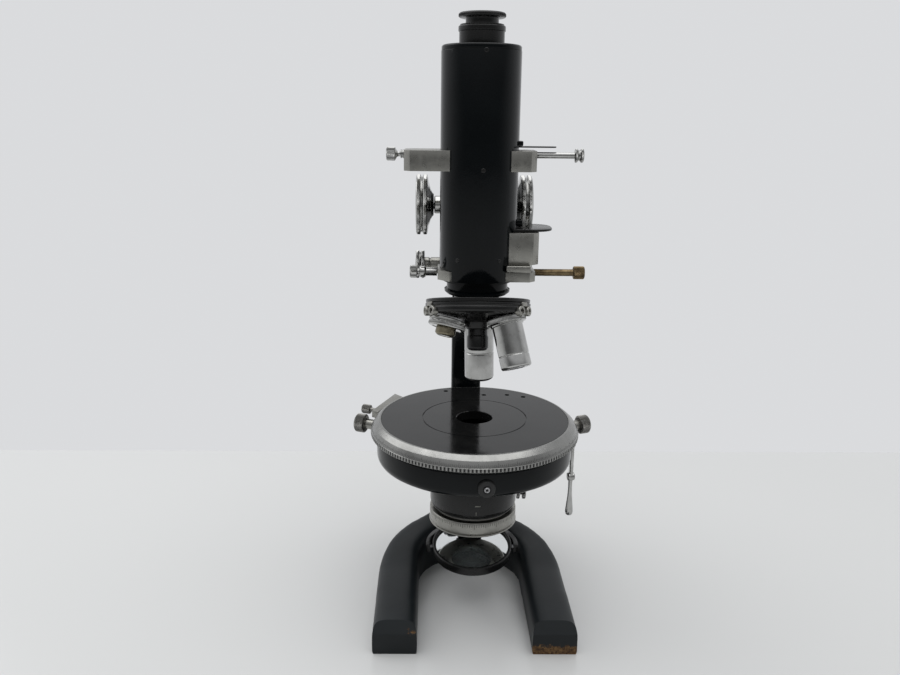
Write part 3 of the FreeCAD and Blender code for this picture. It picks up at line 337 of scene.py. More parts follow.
def lathe_mesh(profile, steps=128, round_by=0.15, knurl=(0, 0.0)):
    """Mesh of an outline (radius, height[, 1 where knurled]) in mm, turned round Z.

    knurl is (number of ridges, depth in mm). The outline runs up the outside and may start or end on
    the axis.
    """
    count, depth = knurl
    if count:
        steps = 2 * count
    outline = soften(profile, round_by)
    mesh = bmesh.new()
    rings = []
    for radius, height, flag in outline:
        if radius < 1e-6:
            rings.append([mesh.verts.new((0, 0, height * MM))])
            continue
        ring = []
        for k in range(steps):
            r = radius - (depth if flag and k % 2 else 0)
            angle = math.tau * k / steps
            ring.append(mesh.verts.new((r * math.cos(angle) * MM, r * math.sin(angle) * MM, height * MM)))
        rings.append(ring)
    for low, high in zip(rings, rings[1:]):
        for k in range(steps):
            n = (k + 1) % steps
            if len(low) == 1 and len(high) == 1:
                break
            if len(low) == 1:
                mesh.faces.new((low[0], high[n], high[k]))
            elif len(high) == 1:
                mesh.faces.new((low[k], low[n], high[0]))
            else:
                mesh.faces.new((low[k], low[n], high[n], high[k]))
    data = bpy.data.meshes.new("lathe")
    bmesh.ops.remove_doubles(mesh, verts=mesh.verts, dist=1e-7)
    bmesh.ops.recalc_face_normals(mesh, faces=mesh.faces)
    mesh.to_mesh(data)
    mesh.free()
    return data


def lathe(name, profile, matrix, look, body, *nodes, sharp=32, **how):
    """A lathe-turned piece."""
    mesh = lathe_mesh(profile, **how)
    mesh.transform(matrix)
    return finish_piece(name, mesh, look, body, nodes, sharp)


def closed(profile):
    """A ring's outline, joined back to its first point."""
    return profile + [profile[0]]


def rounded_box(low, high, radius, segments=3):
    """Mesh of a box between two corners with rounded edges."""
    mesh = bmesh.new()
    middle, size = (low + high) / 2, high - low
    bmesh.ops.create_cube(mesh, size=1, matrix=Matrix.Translation(middle) @ Matrix.Diagonal((*size, 1)))
    bmesh.ops.bevel(mesh, geom=mesh.edges[:], offset=radius, segments=segments, affect="EDGES",
                    profile=0.5)
    data = bpy.data.meshes.new("box")
    mesh.to_mesh(data)
    mesh.free()
    return data


def joined(meshes):
    """One mesh from several."""
    mesh = bmesh.new()
    for part in meshes:
        mesh.from_mesh(part)
    data = bpy.data.meshes.new("joined")
    mesh.to_mesh(data)
    mesh.free()
    return data


def dress(node, look, bevel=0.35, sharp=30):
    """Keeps a CAD node: cleans its facets, breaks its edges and gives it a material."""
    piece = NODES[node]
    piece.data.materials.clear()
    piece.data.materials.append(LOOKS[look])
    piece.data.shade_smooth()
    weld = piece.modifiers.new("weld", "WELD")
    weld.merge_threshold = TOUCH
    if bevel:
        flat = piece.modifiers.new("flat", "DECIMATE")
        flat.decimate_type = "DISSOLVE"
        flat.angle_limit = math.radians(0.6)
        edge = piece.modifiers.new("edge", "BEVEL")
        edge.width = bevel * MM
        edge.segments = 2
        edge.limit_method = "ANGLE"
        edge.angle_limit = math.radians(sharp)
    split = piece.modifiers.new("split", "EDGE_SPLIT")
    split.split_angle = math.radians(sharp + 4)


def cast(name, node, look, body, voxel, passes, keep=None, extra=(), cuts=()):
    """A casting remade from its CAD node as an even mesh with its edges rounded by averaging.

    keep(points) gives, per point, how much of the averaging reaches it. extra are meshes added first, and
    cuts are planes (point, outward normal) that trim the rounded shape with crisp edges afterwards.
    """
    helper = bpy.data.objects.new("helper", joined([NODES[node].data, *extra]))
    bpy.context.scene.collection.objects.link(helper)
    weld = helper.modifiers.new("weld", "WELD")
    weld.merge_threshold = TOUCH
    remesh = helper.modifiers.new("remesh", "REMESH")
    remesh.mode = "VOXEL"
    remesh.voxel_size = voxel * MM
    graph = bpy.context.evaluated_depsgraph_get()
    mesh = bpy.data.meshes.new_from_object(helper.evaluated_get(graph))
    bpy.data.objects.remove(helper)
    count = len(mesh.vertices)
    points = np.zeros(count * 3)
    mesh.vertices.foreach_get("co", points)
    points = points.reshape(-1, 3)
    edges = np.zeros(len(mesh.edges) * 2, int)
    mesh.edges.foreach_get("vertices", edges)
    edges = edges.reshape(-1, 2)
    degree = np.bincount(edges.ravel(), minlength=count)[:, None]
    share = 0.5 if keep is None else 0.5 * keep(points)[:, None]
    for _ in range(passes):
        total = np.zeros_like(points)
        np.add.at(total, edges[:, 0], points[edges[:, 1]])
        np.add.at(total, edges[:, 1], points[edges[:, 0]])
        points += share * (total / degree - points)
    mesh.vertices.foreach_set("co", points.ravel())
    mesh.update()
    trimmed = bmesh.new()
    trimmed.from_mesh(mesh)
    for point, normal in cuts:
        everything = trimmed.verts[:] + trimmed.edges[:] + trimmed.faces[:]
        made = bmesh.ops.bisect_plane(trimmed, geom=everything, dist=TOUCH, plane_co=point,
                                      plane_no=normal, clear_outer=True)
        rim = [part for part in made["geom_cut"] if isinstance(part, bmesh.types.BMEdge)]
        bmesh.ops.holes_fill(trimmed, edges=rim, sides=0)
    trimmed.to_mesh(mesh)
    trimmed.free()
    return finish_piece(name, mesh, look, body, (node,), sharp=30)


def marks(name, count, matrix, inner, outer, look, body, width=0.14,
          every=((10, 1.0), (5, 0.75), (1, 0.55)), arc=(0, 360)):
    """Engraved division lines, or strips of painted shade, between two (radius, height) points.

    every gives the share of the full length for each multiple of the line's number.
    """
    mesh = bmesh.new()
    inner, outer = Vector(inner), Vector(outer)
    start, sweep = arc
    for k in range(count):
        length = next(share for step, share in every if k % step == 0)
        angle = math.radians(start + sweep * k / count)
        out = Vector((math.cos(angle), math.sin(angle), 0))
        side = Vector((-math.sin(angle), math.cos(angle), 0)) * width / 2
        ends = [outer, outer.lerp(inner, length)]
        low, high = (out * p.x + UP * p.y for p in ends)
        corners = [low - side, low + side, high + side, high - side]
        mesh.faces.new([mesh.verts.new(corner * MM) for corner in corners])
    data = bpy.data.meshes.new(name)
    mesh.to_mesh(data)
    mesh.free()
    data.transform(matrix)
    return finish_piece(name, data, look, body)


# ---------------------------------------------------------------- base and limb
BASE_LOW, BASE_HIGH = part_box("base_casting")
# height of the arm's top and of the toe's square face, run of the slope between them, width of an arm
TOE_TOP, TOE_FACE, TOE_SLOPE, ARM = 0.02, 0.0135, 0.005, 0.0268
# how far the stubs that carry the toes' crisp faces reach forwards and back from the front
STUB_FORE, STUB_BACK = 0.012, 0.008


def arm_keep(points):
    """Full rounding on the arms, little at the floor and on the ears."""
    foot = np.clip((points[:, 2] - 0.005) / 0.004, 0.04, 1)
    return foot * np.clip((0.05 - points[:, 2]) / 0.01, 0.15, 1)


def base_shell():
    """The horseshoe: rounded arms, with the two toes cut off square and sloped, in crisp planes."""
    inner = BASE_HIGH.x - ARM
    stubs = []
    for left, right in ((-BASE_HIGH.x, -inner), (inner, BASE_HIGH.x)):
        low = Vector((left, BASE_LOW.y - STUB_FORE, 0))
        high = Vector((right, BASE_LOW.y + STUB_BACK, TOE_TOP + 0.0001))
        stubs.append(rounded_box(low, high, 0.0001, 1))
    front = Vector((0, BASE_LOW.y, 0))
    cuts = [
        (front, Vector((0, -1, 0))),
        (front + Vector((0, 0, TOE_FACE)), Vector((0, TOE_FACE - TOE_TOP, TOE_SLOPE)).normalized()),
        (Vector(), Vector((0, 0, -1))),
    ]
    cast("base_shell", "base_casting", "base", "base", 1.0, 95, keep=arm_keep, extra=stubs, cuts=cuts)


base_shell()
cast("limb_shell", "limb", "enamel", "limb", 1.0, 16)
low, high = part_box("inclination_pin")
PIVOT = Vector(JOINTS["inclination"]["pos_m"])
PIN = (high.x - low.x) / 2 / MM
lathe("inclination_bolt",
      [(0, -PIN), (3.4, -PIN), (3.4, -PIN + 1.4), (7.5, -PIN + 1.4), (8.5, -PIN + 2.4), (8.5, -PIN + 5),
       (4, -PIN + 5), (4, PIN - 5), (8.5, PIN - 5), (8.5, PIN - 2.4), (7.5, PIN - 1.4), (0, PIN - 1.4)],
      place_on(Vector(((low.x + high.x) / 2, PIVOT.y, PIVOT.z)), (1, 0, 0)), "steel", "base",
      "inclination_pin")
dress("stage_bracket", "enamel", 0.6)
dress("fine_block", "enamel", 0.6)


# ---------------------------------------------------------------- stage
low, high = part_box("stage_rim")
RIM = (high.x - low.x) / 2 / MM
RIM_LOW, RIM_TOP = low.z / MM, high.z / MM
DECK = RIM - 6.45
AXLE = place_on(floor_point(), UP)
lathe("stage_rim_bevel",
      closed([(DECK, RIM_LOW), (RIM - 0.5, RIM_LOW), (RIM, RIM_LOW + 0.4, 1), (RIM, RIM_LOW + 2.5, 1),
              (RIM - 0.5, RIM_LOW + 2.8), (RIM - 0.3, RIM_LOW + 3.1), (RIM - 2.2, RIM_TOP - 2.6),
              (DECK + 1.2, RIM_TOP - 0.1), (DECK + 0.8, RIM_TOP), (DECK, RIM_TOP)]),
      AXLE, "rim", "stage", "stage_rim", round_by=0.12, knurl=(180, 0.3))
# black strips laid in the grooves of the rim's serrated lower edge are painted shade
marks("stage_grip_painted_shade", 180, AXLE, (RIM - 0.14, RIM_LOW + 0.5), (RIM - 0.14, RIM_LOW + 2.4), "ink_and_shade", "stage",
      width=1.15, every=((1, 1.0),), arc=(1, 360))
marks("stage_divisions", 360, AXLE, (RIM - 1.48, RIM_LOW + 5.3), (RIM - 0.47, RIM_LOW + 3.5),
      "ink_and_shade", "stage")
dress("stage_plate", "plate_black", 0)

low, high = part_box("stage_drum")
DRUM = (high.x - low.x) / 2 / MM
DRUM_LOW, DRUM_TOP = low.z / MM, high.z / MM
WELL = DRUM - 32.3
SKIRT = DRUM - 6.3
lathe("stage_drum_shell",
      closed([(WELL, DRUM_LOW), (DRUM - 5, DRUM_LOW), (DRUM - 2.9, DRUM_LOW + 0.5),
              (DRUM - 1.2, DRUM_LOW + 1.7), (DRUM - 0.3, DRUM_LOW + 3.4), (DRUM, DRUM_LOW + 5.2),
              (DRUM, DRUM_TOP - 2.2), (DRUM - 0.35, DRUM_TOP - 1.9), (DRUM - 0.35, DRUM_TOP - 1.6),
              (DRUM, DRUM_TOP - 1.3), (DRUM, DRUM_TOP), (SKIRT, DRUM_TOP), (SKIRT, DRUM_LOW + 4),
              (WELL, DRUM_LOW + 4)]),
      AXLE, "enamel", "limb", "stage_drum", steps=192, round_by=0.5)
dress("stage_bearing", "brass", 0)


def screw_on(node, joint):
    """Matrix along a radial screw, with the node's nearest and farthest distance and radius in mm."""
    matrix = place_on(*line_of(joint))
    return matrix, *span(node, matrix)


for side in ("left", "right"):
    node = f"centring_screw_{side}"
    matrix, near, far, radius = screw_on(node, f"centring_{side}_turn")
    lathe(f"{node}_head",
          [(0, far - 7), (radius - 1.2, far - 7), (radius, far - 6.2, 1), (radius, far - 0.9, 1),
           (radius - 0.9, far - 0.1), (radius - 2.2, far), (radius - 2.6, far - 0.5), (0, far - 0.5)],
          matrix, "dull", f"screw_{side}", node, round_by=0.25, knurl=(56, 0.34))
    lathe(f"{node}_sleeve",
          [(0, near), (2.4, near), (2.4, DRUM + 0.6), (3.4, DRUM + 0.6), (3.4, DRUM + 5.2),
           (2.9, DRUM + 5.6), (2.9, DRUM + 6.4), (3.4, DRUM + 6.8), (3.4, far - 7), (0, far - 7)],
          matrix, "plate", f"screw_{side}", steps=48)

low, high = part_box("stage_plunger")
middle = (low + high) / 2 - floor_point()
plunger_axis = Vector((middle.x, middle.y, 0)).normalized()
PLUNGER = place_on(floor_point(middle.z), plunger_axis)
near, far, radius = span("stage_plunger", PLUNGER)
lathe("stage_plunger_cap",
      [(0, near), (2.4, near), (2.4, DRUM), (radius, DRUM + 0.1), (radius, DRUM + 0.3, 1),
       (radius, DRUM + 1.6, 1), (radius - 0.7, far), (2.4, far), (2.1, far - 0.4), (0, far - 0.4)],
      PLUNGER, "knob_black", "limb", "stage_plunger", round_by=0.2, knurl=(44, 0.25))
lathe("stage_plunger_tip",
      [(1.7, far - 0.45), (1.7, far + 0.4), (1.4, far + 0.8), (1.0, far + 0.8), (0.75, far + 0.5),
       (0.7, far)],
      PLUNGER, "steel", "limb", steps=40, round_by=0.1)
# black disc at the floor of the tip's hollow is painted shade for the deep hole
lathe("stage_plunger_hole_shade", [(0.72, far + 0.1), (0, far + 0.1)], PLUNGER, "ink_and_shade", "limb", steps=24)

dress("vernier_arm", "plate", 0.4)
matrix, near, far, radius = screw_on("vernier_screw", "vernier_screw_turn")
lathe("vernier_screw_head",
      [(0, near), (1.3, near), (1.3, far - 5.8), (radius - 0.4, far - 5.8), (radius, far - 5.4, 1),
       (radius, far - 0.6, 1), (radius - 0.4, far), (0, far)],
      matrix, "dull", "vernier_screw", "vernier_screw", round_by=0.2, knurl=(36, 0.25))


def clamp_lever():
    """Hub, flat link and hanging drop handle, in local space: Z runs out along the pin, X hangs down."""
    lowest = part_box("clamp_lever")[0].z
    origin, axis = line_of("clamp_turn")
    down = -UP
    side = axis.cross(down)
    turn = Matrix((down, side, axis)).transposed().to_4x4()
    matrix = Matrix.Translation(origin) @ turn
    near, far, _ = span("clamp_lever", matrix)
    length = (origin.z - lowest) / MM
    hub = lathe_mesh([(0, near), (2.4, near), (2.4, far - 5.2), (4.5, far - 5.2), (4.5, far - 2.6),
                      (3.2, far - 1.2), (0, far - 1.2)], 48, 0.4)
    middle = far - 2.6
    link = rounded_box(Vector((0, -2.2, middle - 1.1)) * MM,
                       Vector((23, 2.2, middle + 1.1)) * MM, 0.8 * MM)
    boss = lathe_mesh([(0, middle - 2.4), (2.2, middle - 2.4), (2.7, middle - 1.8), (2.7, middle + 1.8),
                       (2.2, middle + 2.4), (0, middle + 2.4)], 48, 0.4)
    boss.transform(Matrix.Translation((24 * MM, 0, 0)))
    drop = [(0, length), (1.3, length - 0.2), (2.2, length - 1.0), (2.6, length - 2.8), (2.5, length - 5),
            (1.95, length - 10), (1.5, length - 15), (1.3, length - 20), (1.35, length - 24),
            (1.7, length - 27), (0, length - 28)]
    handle = lathe_mesh(drop[::-1], 32, 0.4)
    handle.transform(Matrix.Translation((0, 0, middle * MM)) @ Matrix.Rotation(math.radians(90), 4, "Y"))
    mesh = joined([hub, link, boss, handle])
    mesh.transform(matrix)
    return finish_piece("clamp_handle", mesh, "chrome", "clamp_lever", ("clamp_lever",))


clamp_lever()


# ---------------------------------------------------------------- focusing knobs
def knob_pair(control, joint, profile, look, knurl):
    """Left and right knobs of a control; the outline's heights count inwards from the outer face."""
    origin = line_of(joint)[0]
    for side, way in (("left", -1), ("right", 1)):
        node = f"{control}_knob_{side}"
        matrix = place_on(origin, Vector((way, 0, 0)))
        _, far, radius = span(node, matrix)
        points = [(radius * p[0], far - p[1], *p[2:]) for p in profile]
        lathe(f"{control}_{side}_wheel", points, matrix, look, f"{control}_control", node, round_by=0.2,
              knurl=knurl)


knob_pair("coarse", "coarse_turn",
          [(0, 11.2), (0.36, 11.2), (0.4, 10.4), (0.5, 9.4), (0.76, 8), (0.93, 7.4), (0.97, 7.2),
           (1, 6.7, 1), (1, 4.9, 1), (0.96, 4.3), (0.92, 3.9), (0.92, 3.5), (0.96, 3.1), (1, 2.5, 1),
           (1, 0.8, 1), (0.96, 0.2), (0.9, 0), (0.86, 0.5), (0.62, 0.9), (0.3, 1), (0.28, 0.4), (0, 0.3)],
          "chrome", (150, 0.28))
knob_pair("fine", "fine_turn",
          [(0, 6), (0.93, 6), (1, 5.4, 1), (1, 4, 1), (0.9, 3.3), (0.86, 3), (0.9, 2.7), (1, 2.1, 1),
           (1, 0.7, 1), (0.94, 0), (0.86, 0), (0.82, 0.4), (0.5, 0.6), (0, 0.6)],
          "chrome", (80, 0.26))
dress("coarse_pinion", "steel", 0)
hubs = []
for way, outer in ((-1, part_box("coarse_knob_left")[1].x), (1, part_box("coarse_knob_right")[0].x)):
    reach = abs(outer) / MM - 0.7
    hub = lathe_mesh([(5.4, 18), (5.7, 18.6), (5.7, reach - 0.3), (5.4, reach), (3.6, reach)], 64, 0.2)
    hub.transform(place_on(line_of("coarse_turn")[0], (way, 0, 0)))
    hubs.append(hub)
finish_piece("coarse_hubs", joined(hubs), "chrome", "fine_block")
matrix = place_on(line_of("fine_turn")[0], (1, 0, 0))
near, far, radius = span("fine_shaft", matrix)
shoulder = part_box("limb")[1].x / MM + 0.3
lathe("fine_shaft_hubs",
      [(0, near), (radius, near), (radius, near + 3), (radius - 0.5, near + 3.4),
       (radius - 0.5, near + 4), (radius, near + 4.4), (radius, -shoulder), (3, -shoulder),
       (3, shoulder), (radius, shoulder), (radius, far - 4.4), (radius - 0.5, far - 4),
       (radius - 0.5, far - 3.4), (radius, far - 3), (radius, far), (0, far)],
      matrix, "plate", "fine_control", "fine_shaft", steps=64)


# ---------------------------------------------------------------- body tube and eyepiece
low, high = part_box("body_tube")
TUBE_LOW, TUBE_TOP = low.z / MM, high.z / MM
TUBE = -low.x / MM
lathe("tube_shell",
      closed([(TUBE - 2, TUBE_LOW), (TUBE, TUBE_LOW), (TUBE, TUBE_TOP), (TUBE - 2, TUBE_TOP)]),
      AXLE, "enamel", "tube", "body_tube", steps=192, round_by=0.4)
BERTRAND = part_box("bertrand_box")
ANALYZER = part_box("analyzer_box")
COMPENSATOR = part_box("compensator_housing")


def tube_block(first, last, height):
    """Block on the tube between two corners in mm, measured from a height on the optical axis."""
    base = floor_point(height)
    return rounded_box(base + Vector(first) * MM, base + Vector(last) * MM, 0.6 * MM)


guards = [tube_block((TUBE - 2, -6, 2.65), (TUBE + 1.9, 6, 5.4), BERTRAND[1].z),
          tube_block((TUBE - 2, -1, 2.2), (TUBE + 3.4, 7, 6), ANALYZER[1].z)]
finish_piece("tube_blocks", joined(guards), "enamel", "tube")
gap = (ANALYZER[0].z - COMPENSATOR[1].z) / MM
bridge = tube_block((16, -18.7, 0.05), (30.3, 18.7, gap - 0.05), COMPENSATOR[1].z)
finish_piece("compensator_bridge", bridge, "plate", "tube")
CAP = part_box("tube_top_cap")[1].z / MM
lathe("tube_cap",
      closed([(13, CAP - 8), (14.6, CAP - 8), (14.6, TUBE_TOP), (TUBE - 0.2, TUBE_TOP),
              (TUBE - 0.2, CAP - 0.9), (TUBE - 0.9, CAP - 0.1), (15.6, CAP), (15.2, CAP - 0.35),
              (13, CAP - 0.35)]),
      AXLE, "enamel", "tube", "tube_top_cap", steps=160, round_by=0.3)
low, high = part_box("drawtube")
DRAW = high.x / MM
DRAW_TOP = high.z / MM
lathe("drawtube_shell",
      closed([(DRAW - 1.6, low.z / MM), (DRAW - 0.5, low.z / MM), (DRAW - 0.5, DRAW_TOP - 3.2),
              (DRAW, DRAW_TOP - 3), (DRAW, DRAW_TOP - 0.5), (DRAW - 0.5, DRAW_TOP),
              (DRAW - 1.6, DRAW_TOP)]),
      AXLE, "black", "drawtube", "drawtube", steps=128, round_by=0.2)
low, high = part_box("eyepiece_mount")
EYE = high.x / MM
EYE_TOP = high.z / MM
lathe("eyepiece_shell",
      closed([(9.8, low.z / MM), (DRAW - 1.7, low.z / MM), (DRAW - 1.7, DRAW_TOP),
              (DRAW - 0.9, DRAW_TOP + 0.05), (DRAW - 0.9, DRAW_TOP + 0.7), (9.3, DRAW_TOP + 0.8),
              (9.3, EYE_TOP - 3.1), (EYE - 0.6, EYE_TOP - 2.9), (EYE, EYE_TOP - 2.3, 1),
              (EYE, EYE_TOP - 1.1, 1), (EYE - 0.7, EYE_TOP - 0.3), (9.6, EYE_TOP), (6.6, EYE_TOP - 0.5),
              (5, EYE_TOP - 1.5), (5, EYE_TOP - 2.3), (7.5, EYE_TOP - 2.3), (7.5, DRAW_TOP - 2.4),
              (9.8, DRAW_TOP - 2.4)]),
      AXLE, "black", "eyepiece", "eyepiece_mount", round_by=0.2, knurl=(110, 0.14))
dress("eye_lens", "glass", 0)
dress("tube_slide", "plate", 0)
dress("nose_adapter", "enamel", 0)


def tube_screws():
    """Small blackened screws let into the front of the tube."""
    # (bearing from the front in degrees, height in mm)
    spots = [(3, TUBE_TOP - 65), (-33, CAP - 119.5), (31, CAP - 119.5), (4, CAP - 4)]
    meshes = []
    for bearing, height in spots:
        a = math.radians(bearing)
        out = Vector((math.sin(a), -math.cos(a), 0))
        head = lathe_mesh([(1.3, -0.6), (1.3, 0.1), (1.0, 0.28), (0, 0.32)], 24, 0.1)
        head.transform(place_on(floor_point(height * MM) + out * (TUBE * MM), out))
        meshes.append(head)
    return finish_piece("tube_screws", joined(meshes), "black", "tube")


tube_screws()


# ---------------------------------------------------------------- slides through the tube
dress("bertrand_box", "plate", 0.5)
dress("bertrand_slide", "plate", 0.2)
dress("bertrand_lens", "glass", 0)
dress("iris_lever", "black", 0.25)
dress("analyzer_box", "plate", 0.5)
dress("analyzer_plate", "black", 0.25)
dress("analyzer_mount", "black", 0.2)
dress("analyzer_prism", "glass", 0)
dress("compensator_housing", "plate", 0.4)
dress("compensator_slide", "plate", 0.2)
dress("compensator_crystal", "glass", 0)


def side_rod(name, node, body, look, height, way, profile, knurl):
    """A rod and knob lying along X.

    The outline's heights count inwards from the knob's outer face, and None is the rod's far end.
    """
    matrix = place_on(floor_point(height), Vector((way, 0, 0)))
    near, far, _ = span(node, matrix)
    points = [(p[0], near if p[1] is None else far - p[1], *p[2:]) for p in profile]
    return lathe(name, points, matrix, look, body, node, round_by=0.18, knurl=knurl)


BERT_Z = JOINTS["bertrand_screw_turn"]["pos_m"][2]
COMP_Z = JOINTS["compensator_screw_turn"]["pos_m"][2]
side_rod("bertrand_knob", "bertrand_pull", "bertrand", "chrome", BERT_Z, 1,
         [(0, None), (1.85, None), (1.85, 5.4), (3.2, 5.2), (4, 4.8, 1), (4, 3.9, 1), (3.2, 3.2),
          (2.9, 2.7), (3.2, 2.1), (4, 1.4, 1), (4, 0.5, 1), (3.4, 0), (0, 0.1)], (40, 0.22))
side_rod("bertrand_screw_head", "bertrand_screw", "bertrand_screw", "chrome", BERT_Z, -1,
         [(0, None), (1.4, None), (1.4, 10.2), (2.5, 10.2), (2.5, 9.6), (2.2, 9.4), (2.2, 9.1),
          (2.5, 8.9), (2.5, 8.3), (1.6, 8), (1.5, 7.2), (1.8, 6.2), (3.4, 5.3), (3.9, 4.9, 1),
          (3.9, 0.6, 1), (3.4, 0), (2, 0), (1.7, 0.4), (0, 0.4)], (40, 0.26))
side_rod("compensator_knob", "compensator_pull", "compensator", "brass", COMP_Z, 1,
         [(0, None), (2.1, None), (2.1, 6.8), (3.4, 6.7), (3.9, 6.2, 1), (3.9, 0.5, 1), (3.4, 0),
          (1.6, 0), (1.3, 0.4), (0, 0.4)], (36, 0.28))
side_rod("compensator_screw_head", "compensator_screw", "compensator_screw", "chrome", COMP_Z, -1,
         [(0, None), (1.2, None), (1.2, 16.4), (2.6, 16.4), (2.6, 9.8), (3.3, 9.3), (3.6, 8.9),
          (3.6, 6.5), (3.2, 6), (2, 5.8), (2, 4.6), (3.4, 4.4), (3.8, 4, 1), (3.8, 0.6, 1), (3.3, 0),
          (0, 0.1)], (40, 0.26))


# ---------------------------------------------------------------- nosepiece
CONE, LEAN = line_of("nosepiece_turn")
STATIONS = {"high": -5, "low": 115, "medium": 235}
NOSE = place_on(CONE, LEAN)
near, far, NOSE_R = span("nosepiece_plate", NOSE)
lathe("nosepiece_disc",
      [(0, far - 2.1), (NOSE_R - 0.4, far - 2.1), (NOSE_R - 0.2, far - 0.5), (NOSE_R - 0.9, far),
       (12, far), (0, far)],
      NOSE, "black", "tube", "nosepiece_plate", steps=160, round_by=0.2)
lathe("nosepiece_boss",
      [(0, near), (3.6, near), (5.2, near + 0.5), (6.4, near + 1.8), (6.4, near + 8.5), (5.9, near + 9.2),
       (5.9, near + 13.2), (4, near + 13.2), (4, far - 2.2), (0, far - 2.2)],
      NOSE, "black", "tube", steps=96, round_by=0.5)
DOME_LOW, DOME_HIGH, _ = span("nosepiece_dome", NOSE)
FACET = math.radians(15)
SEAT = DOME_LOW + (NOSE_R - 4.06) * math.tan(FACET)
lathe("nosepiece_dome_shell",
      [(6.3, DOME_LOW - 2.6), (7.2, DOME_LOW - 2.2), (8, DOME_LOW - 0.4), (9.6, DOME_LOW + 1.8),
       (12, DOME_LOW + 2.9), (NOSE_R - 3, SEAT - 0.9), (NOSE_R - 0.6, SEAT),
       (NOSE_R, SEAT + 1), (NOSE_R, DOME_HIGH - 2.6), (NOSE_R - 0.3, DOME_HIGH - 2.2),
       (NOSE_R - 0.3, DOME_HIGH - 1.8), (NOSE_R, DOME_HIGH - 1.4), (NOSE_R, DOME_HIGH), (6.3, DOME_HIGH)],
      NOSE, "black", "nosepiece", "nosepiece_dome", steps=160, round_by=0.3)


def centring_clamps():
    """At each station a thin plate on the dome's edge with two socket screws and a block above it; a
    black hexagon in each socket is painted shade.
    """
    plates, sockets = [], []
    for angle in STATIONS.values():
        swing = Matrix.Rotation(math.radians(angle), 4, LEAN)
        here = Matrix.Translation(CONE) @ swing @ Matrix.Translation(-CONE) @ NOSE
        for bearing, height, wide, tall in ((90, 0.5, 5.5, 2.6), (90, -3.9, 12.5, 1.7)):
            foot = SEAT + 2.6 + height
            block = rounded_box(Vector((NOSE_R - 1.4, -wide / 2, foot)) * MM,
                                Vector((NOSE_R + 0.9, wide / 2, foot + tall)) * MM, 0.5 * MM)
            block.transform(here @ Matrix.Rotation(math.radians(bearing), 4, "Z"))
            plates.append(block)
        for bearing in (90 - 7.5, 90 + 7.5):
            turn = here @ Matrix.Rotation(math.radians(bearing), 4, "Z")
            lift = Matrix.Translation((0, 0, (SEAT + 0.6) * MM))
            out = lift @ Matrix.Rotation(math.radians(90), 4, "Y")
            head = lathe_mesh([(2.9, NOSE_R - 1.4), (2.9, NOSE_R + 1.4), (2.6, NOSE_R + 1.8),
                               (1.5, NOSE_R + 1.8), (1.5, NOSE_R + 0.6), (0, NOSE_R + 0.6)], 40, 0.2)
            head.transform(turn @ out)
            plates.append(head)
            # a black hexagon at the floor of each screw's socket is painted shade
            socket = lathe_mesh([(1.55, NOSE_R + 0.62), (0, NOSE_R + 0.66)], 6, 0)
            socket.transform(turn @ out)
            sockets.append(socket)
    finish_piece("centring_clamps", joined(plates), "plate", "nosepiece", ("centring_pads",))
    finish_piece("centring_socket_shade", joined(sockets), "ink_and_shade", "nosepiece")


def station(angle):
    """Matrix of an objective's own axis, pointing down from the nosepiece's cone tip."""
    swing = Matrix.Rotation(math.radians(angle), 4, LEAN)
    return Matrix.Translation(CONE) @ swing @ Matrix.Rotation(math.pi, 4, "X")


centring_clamps()


def objective(name, look, profile, knurl):
    """An objective whose outline's heights count back from its tip."""
    matrix = station(STATIONS[name])
    far = span(f"objective_{name}", matrix)[1]
    points = [(p[0], far - p[1], *p[2:]) for p in profile]
    return lathe(f"objective_{name}_barrel", points, matrix, look, "nosepiece", f"objective_{name}",
                 round_by=0.18, knurl=knurl)


objective("high", "chrome",
          [(5, 38), (11.2, 38), (11.2, 35.2, 1), (11.2, 34.6, 1), (9.2, 34.2), (9, 33.6), (9, 18.2),
           (8.7, 17.9), (8.7, 17.3), (9, 17), (9, 1.6), (8.6, 0.9), (7.6, 0.1), (3.4, 0), (3, 0.4),
           (3, 2), (0, 2.1)],
          (96, 0.3))
objective("medium", "chrome",
          [(5, 29.6), (11.2, 29.6), (11.6, 29.1, 1), (11.6, 27, 1), (11.2, 26.4), (9.6, 25.9),
           (9.6, 25.2), (8.9, 24.9), (8.9, 7.8), (8.6, 7.6), (8.6, 7.1), (8.9, 6.9), (8.9, 1),
           (8.3, 0.1), (4.4, 0), (4, 0.4), (4, 2), (0, 2.1)],
          (84, 0.36))
objective("low", "chrome",
          [(5, 10.1), (10.7, 10.1), (11.2, 9.7), (11.2, 8.3), (10.6, 8), (10.6, 7.6), (11, 7.3, 1),
           (11, 5.6, 1), (10.3, 4.9), (8.6, 4.7), (8.2, 5), (4.6, 5)],
          (80, 0.3))
low_axis = station(STATIONS["low"])
tip = span("objective_low", low_axis)[1]
lathe("objective_low_nose",
      [(4.4, tip - 5.2), (5.6, tip - 5), (5.9, tip - 4.6), (5.9, tip - 1.4), (5.3, tip - 0.7),
       (4.4, tip - 0.1), (3.4, tip), (3.2, tip - 0.4), (3.2, tip - 2)],
      low_axis, "warm", "nosepiece", steps=96)
for name in STATIONS:
    dress(f"objective_{name}_lens", "glass", 0)


# ---------------------------------------------------------------- substage and mirror
low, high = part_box("substage_carriage")
SUB_TOP = high.z / MM
SLEEVE_TALL = 30.5
SUB_LOW = SUB_TOP - SLEEVE_TALL
SUB = -low.x / MM
GUIDE_FRONT = Vector((0, 0.0275, 0))


